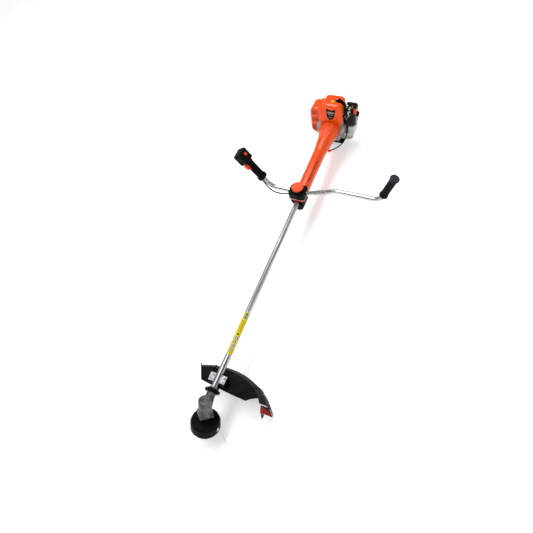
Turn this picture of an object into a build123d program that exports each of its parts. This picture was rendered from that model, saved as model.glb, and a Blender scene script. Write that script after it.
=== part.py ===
from build123d import *
import math
import os

# A petrol brush cutter with a line head: a straight aluminium tube carries the drive shaft from
# the engine at the rear to an angled gear case and line head at the front.
# Working frame: millimetres, the tube's axis along +Y from the gear centre, +Z up, +X to the
# side of the air filter. The row frame is the same, moved so that the foot's face is at z = 0.

BASE = (Align.CENTER, Align.CENTER, Align.MIN)

# ---- fits and clearances ----
seat = 0.1              # radial gap of a fixed piece in its seat
run = 0.05              # radial gap of a shaft or piston that turns or slides in its bore
air = 0.5               # gap between a moving piece and what it passes
loose = 0.3             # gap between curved faces of two bodies that only pass each other

# ---- overall layout, along the tube ----
gear_to_flange = 1560.0     # gear centre to the engine flange of the rear housing
gear_to_handle = 1076.0     # gear centre to the axis of the handle knob
foot_drop = 118.0           # tube axis down to the foot's face
foot_back = 76.0            # engine flange back to the middle of the foot
stand_half_x = 60.0
stand_half_y = 50.0
stand_t = 6.0

# ---- main tube and drive shaft ----
tube_r = 13.0
tube_wall = 1.6
shaft_r = 4.0
bush_pitch = 330.0
bush_length = 30.0
bush_count = 4

# ---- ball bearings, one size throughout ----
bearing_r = 14.0
bearing_bore_r = 6.0
bearing_w = 8.0

# ---- gear case and bevel gears ----
gear_tilt = 31.0            # head axis leans this far forward of straight down
pinion_teeth = 14
ring_teeth = 19
gear_module = 2.0
face_width = 9.0
case_r = 27.0
case_wall = 4.5
case_top = 43.0             # gear centre up to the top of the case
flange_drop = 30.0          # gear centre down to the mounting plate
flange_t = 6.0
flange_corner_r = 41.0
neck_r = 19.0
neck_end = 82.0
head_collar_r = 19.0

# ---- line head ----
head_r = 61.0
head_top = 56.0             # gear centre down to the top of the head
head_h = 64.0
head_wall = 4.0
knob_opening_r = 36.0
bump_travel = 6.0
line_r = 1.35
eyelet_r = 5.0
line_angle = 8.0            # eyelet direction, forward of +X
line_reach = 42.0
line_droop = 64.0

# ---- debris guard ----
guard_t = 3.0
guard_shift = 40.0          # the guard's arc is centred this far in front of the head axis
guard_side = 8.0            # and this far to its right
guard_left = -31.5          # ends of the arc, measured from straight back
guard_right = 50.0
guard_tail = 57.0
guard_front = 91.0          # front edge, behind the gear centre
guard_slant = 5.0           # the front edge is turned this much, in degrees
lip_height = 8.0
knife_t = 2.0
knife_place = (203.0, -104.0, -12.0)
guard_profile = (
    (guard_shift + 88, -18),
    (guard_shift + 120, -34),
    (guard_shift + 150, -42),
    (guard_shift + 185, -40),
    (guard_shift + 215, -21),
    (guard_shift + 235, 9),
    (guard_shift + 245, 42),
)

# ---- guard bracket ----
saddle_half = 38.0
saddle_front = 98.0
saddle_length = 46.0
saddle_drop = 27.0
plate_w = 24.0
plate_length = 34.0
plate_t = 5.0

# ---- cap screws, one size throughout ----
screw_r = 2.5
screw_head_r = 4.3
screw_head_h = 5.0

# ---- handlebar ----
bar_r = 11.0
bar_wall = 1.5
bar_height = 50.0           # bar centre above the tube axis
bar_bend_r = 60.0
left_bend_x = 140.0
grip_lean = 33.0            # grips lean this far outward from straight up
right_rise_x = 45.0
right_level_x = 195.0
bar_level = 113.0
right_bend_x = 395.0
right_bend_r = 50.0
left_grip_start = 66.0      # throttle grip's lower end, along the bar from the left bend
throttle_grip_length = 178.0
right_grip_lean = 18.5
right_grip_start = 42.0
plain_grip_length = 128.0
plain_grip_r = 17.0
grip_half_x = 17.0
grip_half_y = 20.0
grip_head_start = 122.0
trigger_half = 6.0
pivot_r = 2.2
trigger_pivot = (-10.0, 128.0)      # (y, z) in the grip's frame
lockout_pivot = (12.0, 140.0)
switch_travel = 4.0

# ---- handle clamp ----
clamp_half_x = 42.0
clamp_half_y = 34.0
clamp_low = 31.0
clamp_high = 68.0
knob_r = 29.0
knob_h = 21.0
stud_r = 4.5
bracket_drop = 46.0
nose_r = 27.0
nose_side = 7.0
nose_sag = 20.0

# ---- rear housing ----
housing_front = 1112.0
housing_wall = 3.0
housing_front_half = 29.0
housing_front_corner = 22.0
housing_waist_y = 1380.0
housing_waist_half = 31.0
housing_waist_corner = 25.0
housing_shoulder_y = 1472.0
housing_shoulder_half = 39.0
housing_shoulder_corner = 33.0
housing_flange_r = 55.0
flange_screw_circle = 47.0
eye_y = 1190.0
eye_r = 8.0
eye_t = 6.0

# ---- clutch ----
drum_r = 36.0
drum_wall = 2.0
drum_depth = 26.0
shoe_gap = 0.9

# ---- fan housing and crankcase, lengths measured back from the engine flange ----
fan_case_r = 78.0
fan_case_depth = 40.0
fan_case_wall = 3.0
flywheel_r = 58.0
flywheel_t = 20.0
crankcase_depth = 56.0
crankcase_r = 39.0
crankcase_wall = 8.0
plate_flange_t = 3.0      # the crankcase's two end flanges
web_r = 27.5
web_t = 9.0
web_gap = 4.0
crank_r = 16.0
rod_length = 60.0
rod_t = 9.0

# ---- cylinder and piston ----
bore_r = 20.0
barrel_r = 24.5
piston_skirt = 15.0         # gudgeon pin down to the skirt's edge
piston_crown = 20.0         # gudgeon pin up to the crown
pin_r = 5.0
head_gap = 4.0              # crown to chamber top at the top of the stroke
deck_height = 40.0
spigot_h = 6.0
cylinder_foot = 24.5
fin_first = 55.5
fin_pitch = 6.5
fin_count = 9
fin_t = 2.0
fin_half_x = 42.0
fin_front = 24.5
fin_back = 28.5
port_r = 9.0
intake_z = 80.0
exhaust_z = 68.0

# ---- starter ----
starter_r = 54.0
starter_depth = 58.0
reel_r = 28.0
reel_back = 22.0            # middle of the reel, in from the cup's rear face
rope_r = 1.75
pull_travel = 60.0

# ---- engine covers ----
cover_left = -66.0
cover_right = 70.0
cover_front = -6.0
cover_back = 101.0
cover_low = 30.0
cover_top = 148.0
cover_wall = 2.5
cover_corner_r = 24.0
cover_lean = 18.0           # the side walls and front lean in by this much at the top
cover_shift = 6.0           # the top is set over to the intake side by this much
muffler_left = -114.0
muffler_low = -50.0
muffler_high = 118.0
muffler_corner_r = 34.0
muffler_front = 6.0
muffler_back = 94.0

# ---- intake side ----
backplate_x = 82.0
backplate_t = 4.0
filter_right = 129.0
filter_low = 0.0
filter_high = 130.0
filter_front = 26.0
filter_back = 100.0
filter_corner_r = 33.0
latch_z = 74.0
choke_z = 66.0

# ---- tank ----
tank_left = -92.0
tank_right = 114.0
tank_corner_r = 34.0
tank_low = -100.0
tank_high = -56.0
tank_front = 47.0
tank_depth = 76.0
tower_left = 86.0
tower_high = -7.0
tank_wall = 2.0
cap_x = -62.0
cap_z = -76.0

# ---- cables ----
cable_r = 3.0

# ---- places worked out from the sizes above ----
flange = gear_to_flange
handle = gear_to_handle
tilt_sin = math.sin(math.radians(gear_tilt))
tilt_cos = math.cos(math.radians(gear_tilt))
head_plane = Plane(origin=(0, 0, 0), x_dir=(1, 0, 0), z_dir=(0, -tilt_sin, -tilt_cos))
fan_case_back = flange + fan_case_depth
crankcase_front = fan_case_back
crankcase_back = crankcase_front + crankcase_depth
cylinder_y = crankcase_front + crankcase_depth / 2
tube_front = neck_end - 26.0
tube_back = flange - 90.0
gear_bearing_y = (34.0, 34.0 + bearing_w + 2.0)
drum_back = flange - 8.0
drum_front = drum_back - drum_depth
foot_y = flange + foot_back
row_shift = Vector(0, -foot_y, foot_drop)


# ---- shape helpers ----
def rod(start, end, radius):
    """A round bar between two points."""
    axis = Vector(end) - Vector(start)
    return Plane(origin=start, z_dir=axis) * Cylinder(radius, axis.length, align=BASE)


def pipe(start, end, outer, inner):
    """A round bar with a bore right through."""
    return rod(start, end, outer) - rod(start, end, inner)


def taper(start, end, first, last):
    """A cone frustum between two points."""
    axis = Vector(*end) - Vector(*start)
    return Plane(origin=start, z_dir=axis) * Cone(first, last, axis.length, align=BASE)


def block(x0, x1, y0, y1, z0, z1):
    """A box given by its lowest and highest corners."""
    centre = Pos((x0 + x1) / 2, (y0 + y1) / 2, (z0 + z1) / 2)
    return centre * Box(x1 - x0, y1 - y0, z1 - z0)


def soft_block(x0, x1, y0, y1, z0, z1, radius):
    """A box with every edge rounded."""
    solid = block(x0, x1, y0, y1, z0, z1)
    return fillet(solid.edges(), radius)


def turned(points):
    """A solid of revolution about the local z axis from (radius, height) points."""
    outline = Polyline(*[(r, 0, z) for r, z in points], close=True)
    return revolve(make_face(outline), Axis.Z)


def slab(points, plane, thickness):
    """A flat plate: an outline on a plane, given thickness to both sides of it."""
    face = plane * make_face(Polyline(*points, close=True))
    return extrude(face, thickness / 2, both=True)


def corner_radii(points, share=0.45):
    """The largest arc that each corner of a route has room for."""
    corners = [Vector(*p) for p in points]
    radii = []
    for before, here, after in zip(corners, corners[1:], corners[2:]):
        turn = (here - before).get_angle(after - here)
        shorter = min((here - before).length, (after - here).length)
        radii.append(share * shorter / math.tan(math.radians(turn / 2)))
    return radii


def cord_tube(name, points, radius):
    """A round cord along straight runs joined by tangent arcs."""
    radii = corner_radii(points)
    print(name, "bend radii", [round(r, 1) for r in radii])
    route = FilletPolyline(*points, radius=radii)
    start = Plane(origin=points[0], z_dir=Vector(*points[1]) - Vector(*points[0]))
    return sweep(start * Circle(radius), path=route)


def group(solids):
    """Separate solids that share one node."""
    return Compound(children=list(solids))


def around(count, radius, first=0.0):
    """Places evenly spaced on a circle about the Y axis, as (x, z)."""
    places = []
    for k in range(count):
        angle = math.radians(first + 360.0 * k / count)
        places.append((radius * math.cos(angle), radius * math.sin(angle)))
    return places


def bearing(start, end):
    """A sealed ball bearing as its outer and inner envelope."""
    return pipe(start, end, bearing_r, bearing_bore_r)


def head_point(x, y, z):
    """A point of the head's own frame, in the working frame: z is down the head axis."""
    return tuple(head_plane.from_local_coords(Vector(x, y, z)))


# ---- tube, bushes and drive line ----
def main_tube():
    """The straight outer tube from the gear case to the clutch."""
    return pipe((0, tube_front, 0), (0, tube_back, 0), tube_r, tube_r - tube_wall)


def shaft_bushings():
    """Bushes that carry the drive shaft along the tube."""
    outer = tube_r - tube_wall - seat
    first = (tube_front + tube_back - bush_pitch * (bush_count - 1)) / 2
    bushes = []
    for k in range(bush_count):
        y = first + k * bush_pitch
        bushes.append(pipe((0, y, 0), (0, y + bush_length, 0), outer, shaft_r + run))
    return group(bushes)


def drive_shaft():
    """The long shaft from the clutch drum to the pinion."""
    return rod((0, gear_bearing_y[1] + bearing_w + 2, 0), (0, drum_front - 4, 0), shaft_r)


def clutch_drum():
    """The cup that the clutch shoes grip, with its hub in a ball bearing."""
    cup = pipe((0, drum_front, 0), (0, drum_back, 0), drum_r, drum_r - drum_wall)
    web = rod((0, drum_front - drum_wall, 0), (0, drum_front, 0), drum_r)
    hub_front = drum_front - drum_wall - bearing_w - 8
    hub = rod((0, hub_front, 0), (0, drum_front - drum_wall, 0), bearing_bore_r - run)
    socket = rod((0, hub_front, 0), (0, drum_front - 4, 0), shaft_r + seat)
    return cup + web + hub - socket


def bevel_teeth(cone_half, teeth, plane, first):
    """A bevel gear's toothed body, every line of it running to the cone's apex."""
    outer = gear_module * ring_teeth / 2 / math.sin(ring_cone())
    inner = outer - face_width
    tip = math.tan(cone_half + math.atan(0.7 * gear_module / outer))
    root = math.tan(cone_half - math.atan(1.1 * gear_module / outer))
    pitch = 2 * math.pi / teeth
    shape = ((-0.30, root), (-0.13, tip), (0.13, tip), (0.30, root))

    def outline(height):
        points = []
        for k in range(teeth):
            for share, slope in shape:
                angle = (k + first + share) * pitch
                reach = height * slope
                points.append((reach * math.cos(angle), reach * math.sin(angle)))
        return make_face(Polyline(*points, close=True))

    low = inner * math.cos(cone_half)
    high = outer * math.cos(cone_half)
    solid = loft([Pos(0, 0, low) * outline(low), Pos(0, 0, high) * outline(high)], ruled=True)
    return plane * solid


def ring_cone():
    """Half angle of the ring gear's pitch cone, from the tooth counts and the shaft angle."""
    shafts = math.radians(90.0 - gear_tilt)
    return shafts - pinion_cone()


def pinion_cone():
    """Half angle of the pinion's pitch cone."""
    shafts = math.radians(90.0 - gear_tilt)
    return math.atan(math.sin(shafts) / (ring_teeth / pinion_teeth + math.cos(shafts)))


def input_pinion():
    """The bevel pinion and its shank, which the drive shaft turns."""
    plane = Plane(origin=(0, 0, 0), x_dir=(0, 0, 1), z_dir=(0, 1, 0))
    teeth = bevel_teeth(pinion_cone(), pinion_teeth, plane, 0.0)
    outer = gear_module * ring_teeth / 2 / math.sin(ring_cone())
    front = outer * math.cos(pinion_cone())
    back = gear_bearing_y[1] + bearing_w + 6
    shank = rod((0, front, 0), (0, back, 0), bearing_bore_r - run)
    socket = rod((0, gear_bearing_y[1] + bearing_w + 2, 0), (0, back, 0), shaft_r + seat)
    return teeth + shank - socket


def output_gear():
    """The ring gear and the spindle that it drives, on the head axis."""
    plane = Plane(origin=(0, 0, 0), x_dir=(0, tilt_cos, -tilt_sin), z_dir=(0, tilt_sin, tilt_cos))
    teeth = bevel_teeth(ring_cone(), ring_teeth, plane, 0.5)
    spindle_top = -case_top + case_wall + 1
    spindle = rod(head_point(0, 0, spindle_top), head_point(0, 0, head_top + 38), bearing_bore_r - run)
    collar = pipe(
        head_point(0, 0, flange_drop + flange_t + 1),
        head_point(0, 0, head_top),
        head_collar_r,
        bearing_bore_r - run,
    )
    return teeth + spindle + collar


def gear_case():
    """The cast case: a boss on the head axis, a neck on the tube axis and a square plate."""
    boss = Cylinder(case_r, case_top + flange_drop, align=BASE)
    boss = fillet(boss.edges().group_by(Axis.Z)[0], 7)
    boss = head_plane * (Pos(0, 0, -case_top) * boss)
    plate = Rectangle(flange_corner_r * math.sqrt(2), flange_corner_r * math.sqrt(2))
    plate = extrude(fillet(plate.vertices(), 5), flange_t)
    plate = head_plane * (Pos(0, 0, flange_drop) * (Rot(0, 0, 45) * plate))
    skirt = taper(head_point(0, 0, flange_drop - 14), head_point(0, 0, flange_drop), case_r, case_r + 4)
    shoulder = taper((0, 4, 0), (0, 44, 0), case_r - 1, neck_r)
    neck = rod((0, 40, 0), (0, neck_end, 0), neck_r)
    body = boss + plate + skirt + shoulder + neck
    ring_room = case_r - case_wall
    body -= rod(head_point(0, 0, -case_top + case_wall + bearing_w + 1.5), head_point(0, 0, 12), ring_room)
    body -= rod((0, 0, 0), (0, gear_bearing_y[0] - 1, 0), 17.0)
    upper = -case_top + case_wall
    body -= rod(head_point(0, 0, upper), head_point(0, 0, 0), bearing_r + seat)
    body -= rod((0, 20, 0), (0, gear_bearing_y[1] + bearing_w, 0), bearing_r + seat)
    body -= rod(head_point(0, 0, 0), head_point(0, 0, 22), bearing_r + seat)
    body -= rod(head_point(0, 0, 0), head_point(0, 0, flange_drop + flange_t), bearing_bore_r + 1)
    body -= rod((0, 40, 0), (0, tube_front, 0), bearing_bore_r + 1)
    body -= rod((0, tube_front, 0), (0, neck_end, 0), tube_r + seat)
    return body


def ball_bearings():
    """All the ball bearings: pinion, spindle, clutch drum and crankshaft."""
    top = -case_top + case_wall
    rings = [
        bearing(head_point(0, 0, top), head_point(0, 0, top + bearing_w)),
        bearing(head_point(0, 0, 22 - bearing_w), head_point(0, 0, 22)),
    ]
    hub_y = drum_front - drum_wall - bearing_w - 2
    starts = gear_bearing_y + (hub_y, crankcase_front + 1, crankcase_back - bearing_w - 1)
    for y in starts:
        rings.append(bearing((0, y, 0), (0, y + bearing_w, 0)))
    return group(rings)


# ---- line head, all of it turned about the head axis ----
def head_body():
    """The drum of the line head: a domed top, a round wall and a hub on the spindle."""
    low = head_top + head_h
    shell = turned(
        [
            (bearing_bore_r + seat, head_top),
            (24, head_top),
            (46, head_top + 3),
            (56, head_top + 9),
            (head_r, head_top + 22),
            (head_r, low - 9),
            (head_r - 5, low),
            (knob_opening_r, low),
            (knob_opening_r, low - 3),
            (head_r - head_wall - 4, low - 3),
            (head_r - head_wall, low - 10),
            (head_r - head_wall, head_top + 23),
            (53, head_top + 12),
            (44, head_top + 7),
            (12, head_top + 6),
            (12, head_top + 54),
            (10.8, head_top + 54),
            (10.8, head_top + 40),
            (bearing_bore_r + seat, head_top + 40),
        ]
    )
    angle = math.radians(line_angle)
    for side in (1, -1):
        out = (side * head_r * 1.1 * math.cos(angle), side * head_r * 1.1 * math.sin(angle), eyelet_drop())
        inside = (out[0] * 0.8, out[1] * 0.8, out[2])
        shell -= rod(inside, out, eyelet_r + seat)
    return head_plane * shell


def eyelet_drop():
    """Height of the line eyelets, down the head axis."""
    return head_top + head_h * 0.52


def line_eyelets():
    """Two flanged metal eyelets that the line leaves by."""
    angle = math.radians(line_angle)
    pieces = []
    for side in (1, -1):
        way = Vector(side * math.cos(angle), side * math.sin(angle), 0)
        place = Plane(origin=way * (head_r - head_wall) + Vector(0, 0, eyelet_drop()), z_dir=way)
        barrel = Cylinder(eyelet_r, head_wall, align=BASE)
        rim = Pos(0, 0, head_wall + 0.2) * Cylinder(eyelet_r + 2, 1.8, align=BASE)
        bore = Cylinder(line_r + 0.6, head_wall + 3, align=BASE)
        pieces.append(head_plane * (place * (barrel + Pos(0, 0, 0.1) * rim + Cylinder(
            eyelet_r, head_wall + 0.4, align=BASE) - bore)))
    return group(pieces)


def line_spool():
    """The spool and the line wound on it."""
    top = head_top + 14 + bump_travel
    low = head_top + 56
    spool = turned(
        [
            (12 + loose, top),
            (51, top),
            (51, top + 2.5),
            (26, top + 2.5),
            (26, low - 2.5),
            (51, low - 2.5),
            (51, low),
            (12 + loose, low),
        ]
    )
    wound = turned([(26.1, top + 3), (44, top + 3), (44, low - 3), (26.1, low - 3)])
    return group([head_plane * spool, head_plane * wound])


def bump_knob():
    """The stepped button under the head, tapped on the ground to feed line."""
    top = head_top + 56
    rim = knob_opening_r - air
    floor = head_top + head_h + 12
    knob = turned(
        [
            (12 + loose, top),
            (rim, top),
            (rim, floor - 8),
            (rim - 4, floor - 2),
            (rim - 12, floor),
            (9, floor + 2),
            (0, floor + 2),
            (0, floor - 3),
            (12 + loose, floor - 3),
        ]
    )
    return head_plane * knob


def head_spring():
    """The spring between the hub and the button, as its envelope."""
    top = head_top + 42 + bump_travel
    floor = head_top + head_h + 9
    return head_plane * turned([(7.8, top), (10.4, top), (10.4, floor), (7.8, floor)])


def trimmer_line():
    """The free end of the cutting line, out of its eyelet and drooping away."""
    angle = math.radians(line_angle)
    exit_r = head_r + 1.5
    points = []
    for out, drop in ((0.0, 0.0), (0.24, 0.02), (0.50, 0.16), (0.74, 0.42), (0.92, 0.74), (1.0, 1.0)):
        reach = exit_r + out * line_reach
        down = eyelet_drop() + drop * line_droop
        points.append(head_point(reach * math.cos(angle), reach * math.sin(angle), down))
    return cord_tube("trimmer_line", points, line_r)


# ---- debris guard, worked in the head's own frame ----

def offset_points(points, distance):
    """The points of a line moved sideways by a distance, each along its mean normal."""
    moved = []
    for k in range(len(points)):
        before = points[max(k - 1, 0)]
        after = points[min(k + 1, len(points) - 1)]
        dx = after[0] - before[0]
        dy = after[1] - before[1]
        length = math.hypot(dx, dy)
        moved.append((points[k][0] - dy / length * distance, points[k][1] + dx / length * distance))
    return moved


def guard_band(points, first, last, outward, inward):
    """A stretch of the guard: a strip either side of its profile, turned about its centre."""
    outer = offset_points(points, -outward)
    inner = offset_points(points, inward)
    outline = outer + inner[::-1]
    a = math.radians(first)
    radial = Vector(math.sin(a), -math.cos(a), 0)
    plane = Plane(origin=(guard_side, guard_shift, 0), x_dir=radial, z_dir=radial.cross(Vector(0, 0, 1)))
    face = plane * make_face(Polyline(*outline, close=True))
    axis = Axis((guard_side, guard_shift, 0), (0, 0, 1))
    return revolve(face, axis, last - first)


def debris_guard():
    """The moulded guard behind the head: a curved band with a raised end lip, ribs and a tail."""
    shell = guard_band(guard_profile, guard_left, guard_right, 0, guard_t)
    lip = guard_band(guard_profile, guard_left, guard_left + 1.2, lip_height, guard_t)
    rib = guard_band(guard_profile[1:], -17, -16.2, 3.5, guard_t)
    step = guard_band(guard_profile[1:], 33, 36, 2.0, guard_t)
    shell = head_plane * (shell + lip + rib + step)
    shell &= Pos(0, guard_front, 0) * Rot(0, 0, -guard_slant) * block(-400, 400, 0, 400, -400, 100)
    shell -= block(-saddle_half, saddle_half, 60, saddle_front + saddle_length, -saddle_drop, 40)
    tail = head_plane * guard_band(guard_profile[3:], guard_right - 8, guard_tail, 0, guard_t)
    pad = block(-saddle_half + 4, saddle_half - 4, saddle_front, saddle_front + saddle_length - 4,
                -42, -saddle_drop)
    room = head_plane * guard_band(guard_profile, guard_left, guard_right, 0, 60)
    pad -= room
    return shell + tail + pad


def knife_cover():
    """The coloured end plate that closes the guard's tail beside the knife."""
    x, y, z = knife_place
    plate = block(x - 9, x + 52, y, y + 3, z + 6, z + 48)
    room = guard_band(guard_profile[3:], guard_right - 8, guard_tail + 4, 30, guard_t + seat)
    return head_plane * (plate - room)


def line_knife():
    """The leaf-shaped steel blade that cuts the line to length."""
    x, y, z = knife_place
    leaf = ((-9, 14), (9, 14), (10, 44), (6, 66), (0, 88), (-6, 66), (-10, 44))
    plane = head_plane * Plane(origin=(x, y - knife_t / 2, z), x_dir=(1, 0, 0), z_dir=(0, -1, 0))
    return slab(leaf, plane, knife_t)


# ---- guard bracket ----
def guard_bracket():
    """The bracket under the tube: a collar on the gear case's neck, a spine and a saddle."""
    collar = pipe((0, 60, 0), (0, 76, 0), neck_r + 6, neck_r + seat)
    lug = block(-neck_r - 12, neck_r + 12, 62, 74, -7, 7) - rod((0, 50, 0), (0, 90, 0), neck_r + seat)
    spine = block(-13, 13, 62, saddle_front + 10, -saddle_drop, -neck_r - 2)
    saddle = block(-saddle_half, saddle_half, saddle_front, saddle_front + saddle_length, -saddle_drop, 3)
    saddle = fillet(saddle.edges().filter_by(Axis.Z), 6)
    saddle -= rod((0, 90, 0), (0, 160, 0), tube_r + seat)
    for x, y in plate_screw_places():
        saddle -= rod((x, y, -15), (x, y, 5), screw_r + seat)
    spine -= rod((0, 50, 0), (0, 90, 0), neck_r + seat)
    return collar + lug + spine + saddle


def guard_clamp_plates():
    """Two pressed plates, one each side of the tube, screwed down onto the saddle."""
    middle = saddle_front + saddle_length / 2
    plates = []
    for side in (-1, 1):
        x = side * (tube_r + plate_w / 2 - 1)
        plate = block(x - plate_w / 2, x + plate_w / 2, middle - plate_length / 2,
                      middle + plate_length / 2, 3, 3 + plate_t)
        for px, py in plate_screw_places():
            plate -= rod((px, py, 0), (px, py, 10), screw_r + seat)
        plates.append(plate - rod((0, 90, 0), (0, 160, 0), tube_r + seat))
    return group(plates)


def plate_screw_places():
    """Centres of the four screws that hold the clamp plates."""
    middle = saddle_front + saddle_length / 2
    x = tube_r + plate_w / 2 + 1
    y = plate_length / 2 - 7
    return [(side * x, middle + end * y) for side in (-1, 1) for end in (-1, 1)]


def cap_screw(seat_point, way, length):
    """A socket-head cap screw, its head on the seat point and its shank the other way."""
    out = Vector(*way).normalized()
    place = Plane(origin=seat_point, z_dir=out)
    head = Cylinder(screw_head_r, screw_head_h, align=BASE)
    socket = Pos(0, 0, 2.4) * extrude(RegularPolygon(2.3, 6), 3)
    shank = Pos(0, 0, -length) * Cylinder(screw_r, length, align=BASE)
    return place * (head - socket + shank)


# ---- handlebar ----
def bar_points():
    """The handlebar's route from the throttle end to the plain end."""
    lean = math.radians(grip_lean)
    right = math.radians(right_grip_lean)
    left_end = left_grip_start + 62
    right_end = right_grip_start + plain_grip_length - 8
    return [
        (-left_bend_x - left_end * math.sin(lean), handle, bar_height + left_end * math.cos(lean)),
        (-left_bend_x, handle, bar_height),
        (right_rise_x, handle, bar_height),
        (right_level_x, handle, bar_level),
        (right_bend_x, handle, bar_level),
        (right_bend_x + right_end * math.sin(right), handle, bar_level + right_end * math.cos(right)),
    ]


def handlebar_tube():
    """The bent handlebar, cross-drilled for the knob's stud."""
    points = bar_points()
    radii = [bar_bend_r, bar_bend_r, bar_bend_r, right_bend_r]
    route = FilletPolyline(*points, radius=radii)
    start = Plane(origin=points[0], z_dir=Vector(*points[1]) - Vector(*points[0]))
    outer = sweep(start * Circle(bar_r), path=route)
    inner = sweep(start * Circle(bar_r - bar_wall), path=route)
    hole = rod((0, handle, 0), (0, handle, clamp_high + 20), stud_r + loose)
    return outer - inner - hole


def left_grip_plane():
    """Frame of the throttle grip: z up the grip, x to the inner side, y to the rear."""
    lean = math.radians(grip_lean)
    origin = (-left_bend_x - left_grip_start * math.sin(lean), handle,
              bar_height + left_grip_start * math.cos(lean))
    return Plane(origin=origin, x_dir=(math.cos(lean), 0, math.sin(lean)),
                 z_dir=(-math.sin(lean), 0, math.cos(lean)))


def right_grip_plane():
    """Frame of the plain grip: z up the grip."""
    lean = math.radians(right_grip_lean)
    origin = (right_bend_x + right_grip_start * math.sin(lean), handle,
              bar_level + right_grip_start * math.cos(lean))
    return Plane(origin=origin, x_dir=(0, 1, 0), z_dir=(math.sin(lean), 0, math.cos(lean)))


def grip_outline():
    """Outer form of the throttle grip: a thick collar, a slim handle and a square head."""
    handle_part = extrude(RectangleRounded(2 * grip_half_x, 2 * grip_half_y, grip_half_x - 1), grip_head_start)
    collar = extrude(RectangleRounded(2 * grip_half_x + 8, 2 * grip_half_y + 8, grip_half_x + 2), 16)
    head = block(-24, 24, -32, 28, grip_head_start - 6, throttle_grip_length)
    head = fillet(head.edges(), 7)
    return handle_part + collar + head


def grip_cavity():
    """The room inside the grip for the bar, the trigger and its lever."""
    bore = Cylinder(bar_r + seat, 66, align=BASE)
    works = block(-trigger_half - 1, trigger_half + 1, -16, 16, 66, throttle_grip_length - 12)
    head_room = block(-12, 12, -24, 21, grip_head_start, throttle_grip_length - 5)
    trigger_slot = block(-trigger_half - 1, trigger_half + 1, -34, -8, 76, 138)
    lockout_slot = block(-trigger_half - 1, trigger_half + 1, 8, 34, 92, 150)
    switch_slot = block(7.5, 30, -5, 5, 150, 166)
    return bore + works + head_room + trigger_slot + lockout_slot + switch_slot


def grip_half(side):
    """One moulded half of the throttle grip; the left half carries both pivot pins."""
    keep = block(0, 40, -50, 50, -5, throttle_grip_length + 5)
    if side < 0:
        keep = block(-40, 0, -50, 50, -5, throttle_grip_length + 5)
    half = (grip_outline() - grip_cavity()) & keep
    for y, z in (trigger_pivot, lockout_pivot):
        pin = rod((-16, y, z), (16, y, z), pivot_r)
        if side < 0:
            half += pin
        if side > 0:
            half -= rod((-16, y, z), (16, y, z), pivot_r + seat)
    return left_grip_plane() * half


def lever(points, pivot, half_width):
    """A flat lever on a cross pin: an outline in the grip's y-z plane, with its bore."""
    plane = Plane(origin=(0, 0, 0), x_dir=(0, 1, 0), z_dir=(1, 0, 0))
    body = slab(points, plane, 2 * half_width)
    return body - rod((-20, *pivot), (20, *pivot), pivot_r + run)


def throttle_trigger():
    """The finger trigger on the front of the throttle grip."""
    y, z = trigger_pivot
    points = ((y - 4, z + 5), (y + 5, z + 4), (y + 5, z - 8), (y - 4, z - 22), (y - 8, z - 46),
              (y - 15, z - 50), (y - 24, z - 34), (y - 25, z - 16), (y - 16, z - 4))
    return left_grip_plane() * lever(points, trigger_pivot, trigger_half)


def trigger_lockout():
    """The palm lever behind the grip that frees the trigger."""
    y, z = lockout_pivot
    points = ((y - 5, z + 4), (y + 5, z + 4), (y + 17, z - 6), (y + 17, z - 24), (y + 9, z - 44),
              (y + 5, z - 44), (y + 5, z - 20), (y - 5, z - 8))
    return left_grip_plane() * lever(points, lockout_pivot, trigger_half)


def stop_switch():
    """The sliding stop switch on the inner side of the grip's head."""
    stem = block(8.5, 22, -4.5, 4.5, 151, 161)
    button = block(24.5, 28, -7, 7, 149.5, 162.5)
    neck = block(21, 25, -4.5, 4.5, 151, 161)
    return left_grip_plane() * (stem + neck + button)


def plain_grip():
    """The rubber grip on the long end, a sleeve with flared ends."""
    length = plain_grip_length
    sleeve = turned(
        [
            (bar_r + seat, 0),
            (plain_grip_r + 3, 0),
            (plain_grip_r + 3, 7),
            (plain_grip_r, 13),
            (plain_grip_r, length - 16),
            (plain_grip_r + 4, length - 8),
            (plain_grip_r + 4, length - 2),
            (plain_grip_r + 2, length),
            (0, length),
            (0, length - 7),
            (bar_r + seat, length - 7),
        ]
    )
    return right_grip_plane() * sleeve


def front_cable_points():
    """Route of the front cable: out of the grip, down in front of the bar and into the clamp."""
    lean = math.radians(grip_lean)
    front = handle - bar_r - cable_r - 2.5
    exit_point = left_grip_plane().from_local_coords(Vector(0, front - handle, 0))
    down = Vector(math.sin(lean), 0, -math.cos(lean))
    low = bar_height - bar_r - cable_r
    return [
        tuple(exit_point),
        tuple(exit_point + down * 24),
        (-left_bend_x - 7, front, low + 16),
        (-left_bend_x + 18, front + 1, low - 6),
        (-left_bend_x + 46, front + 1, low - 9),
        (-clamp_half_x - 22, front, low - 2),
        (-clamp_half_x, front, low + 5),
    ]


def front_throttle_cable():
    """The sheathed cable from the throttle grip to the clamp, slung in front of the bar."""
    return cord_tube("front_throttle_cable", front_cable_points(), cable_r)


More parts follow.
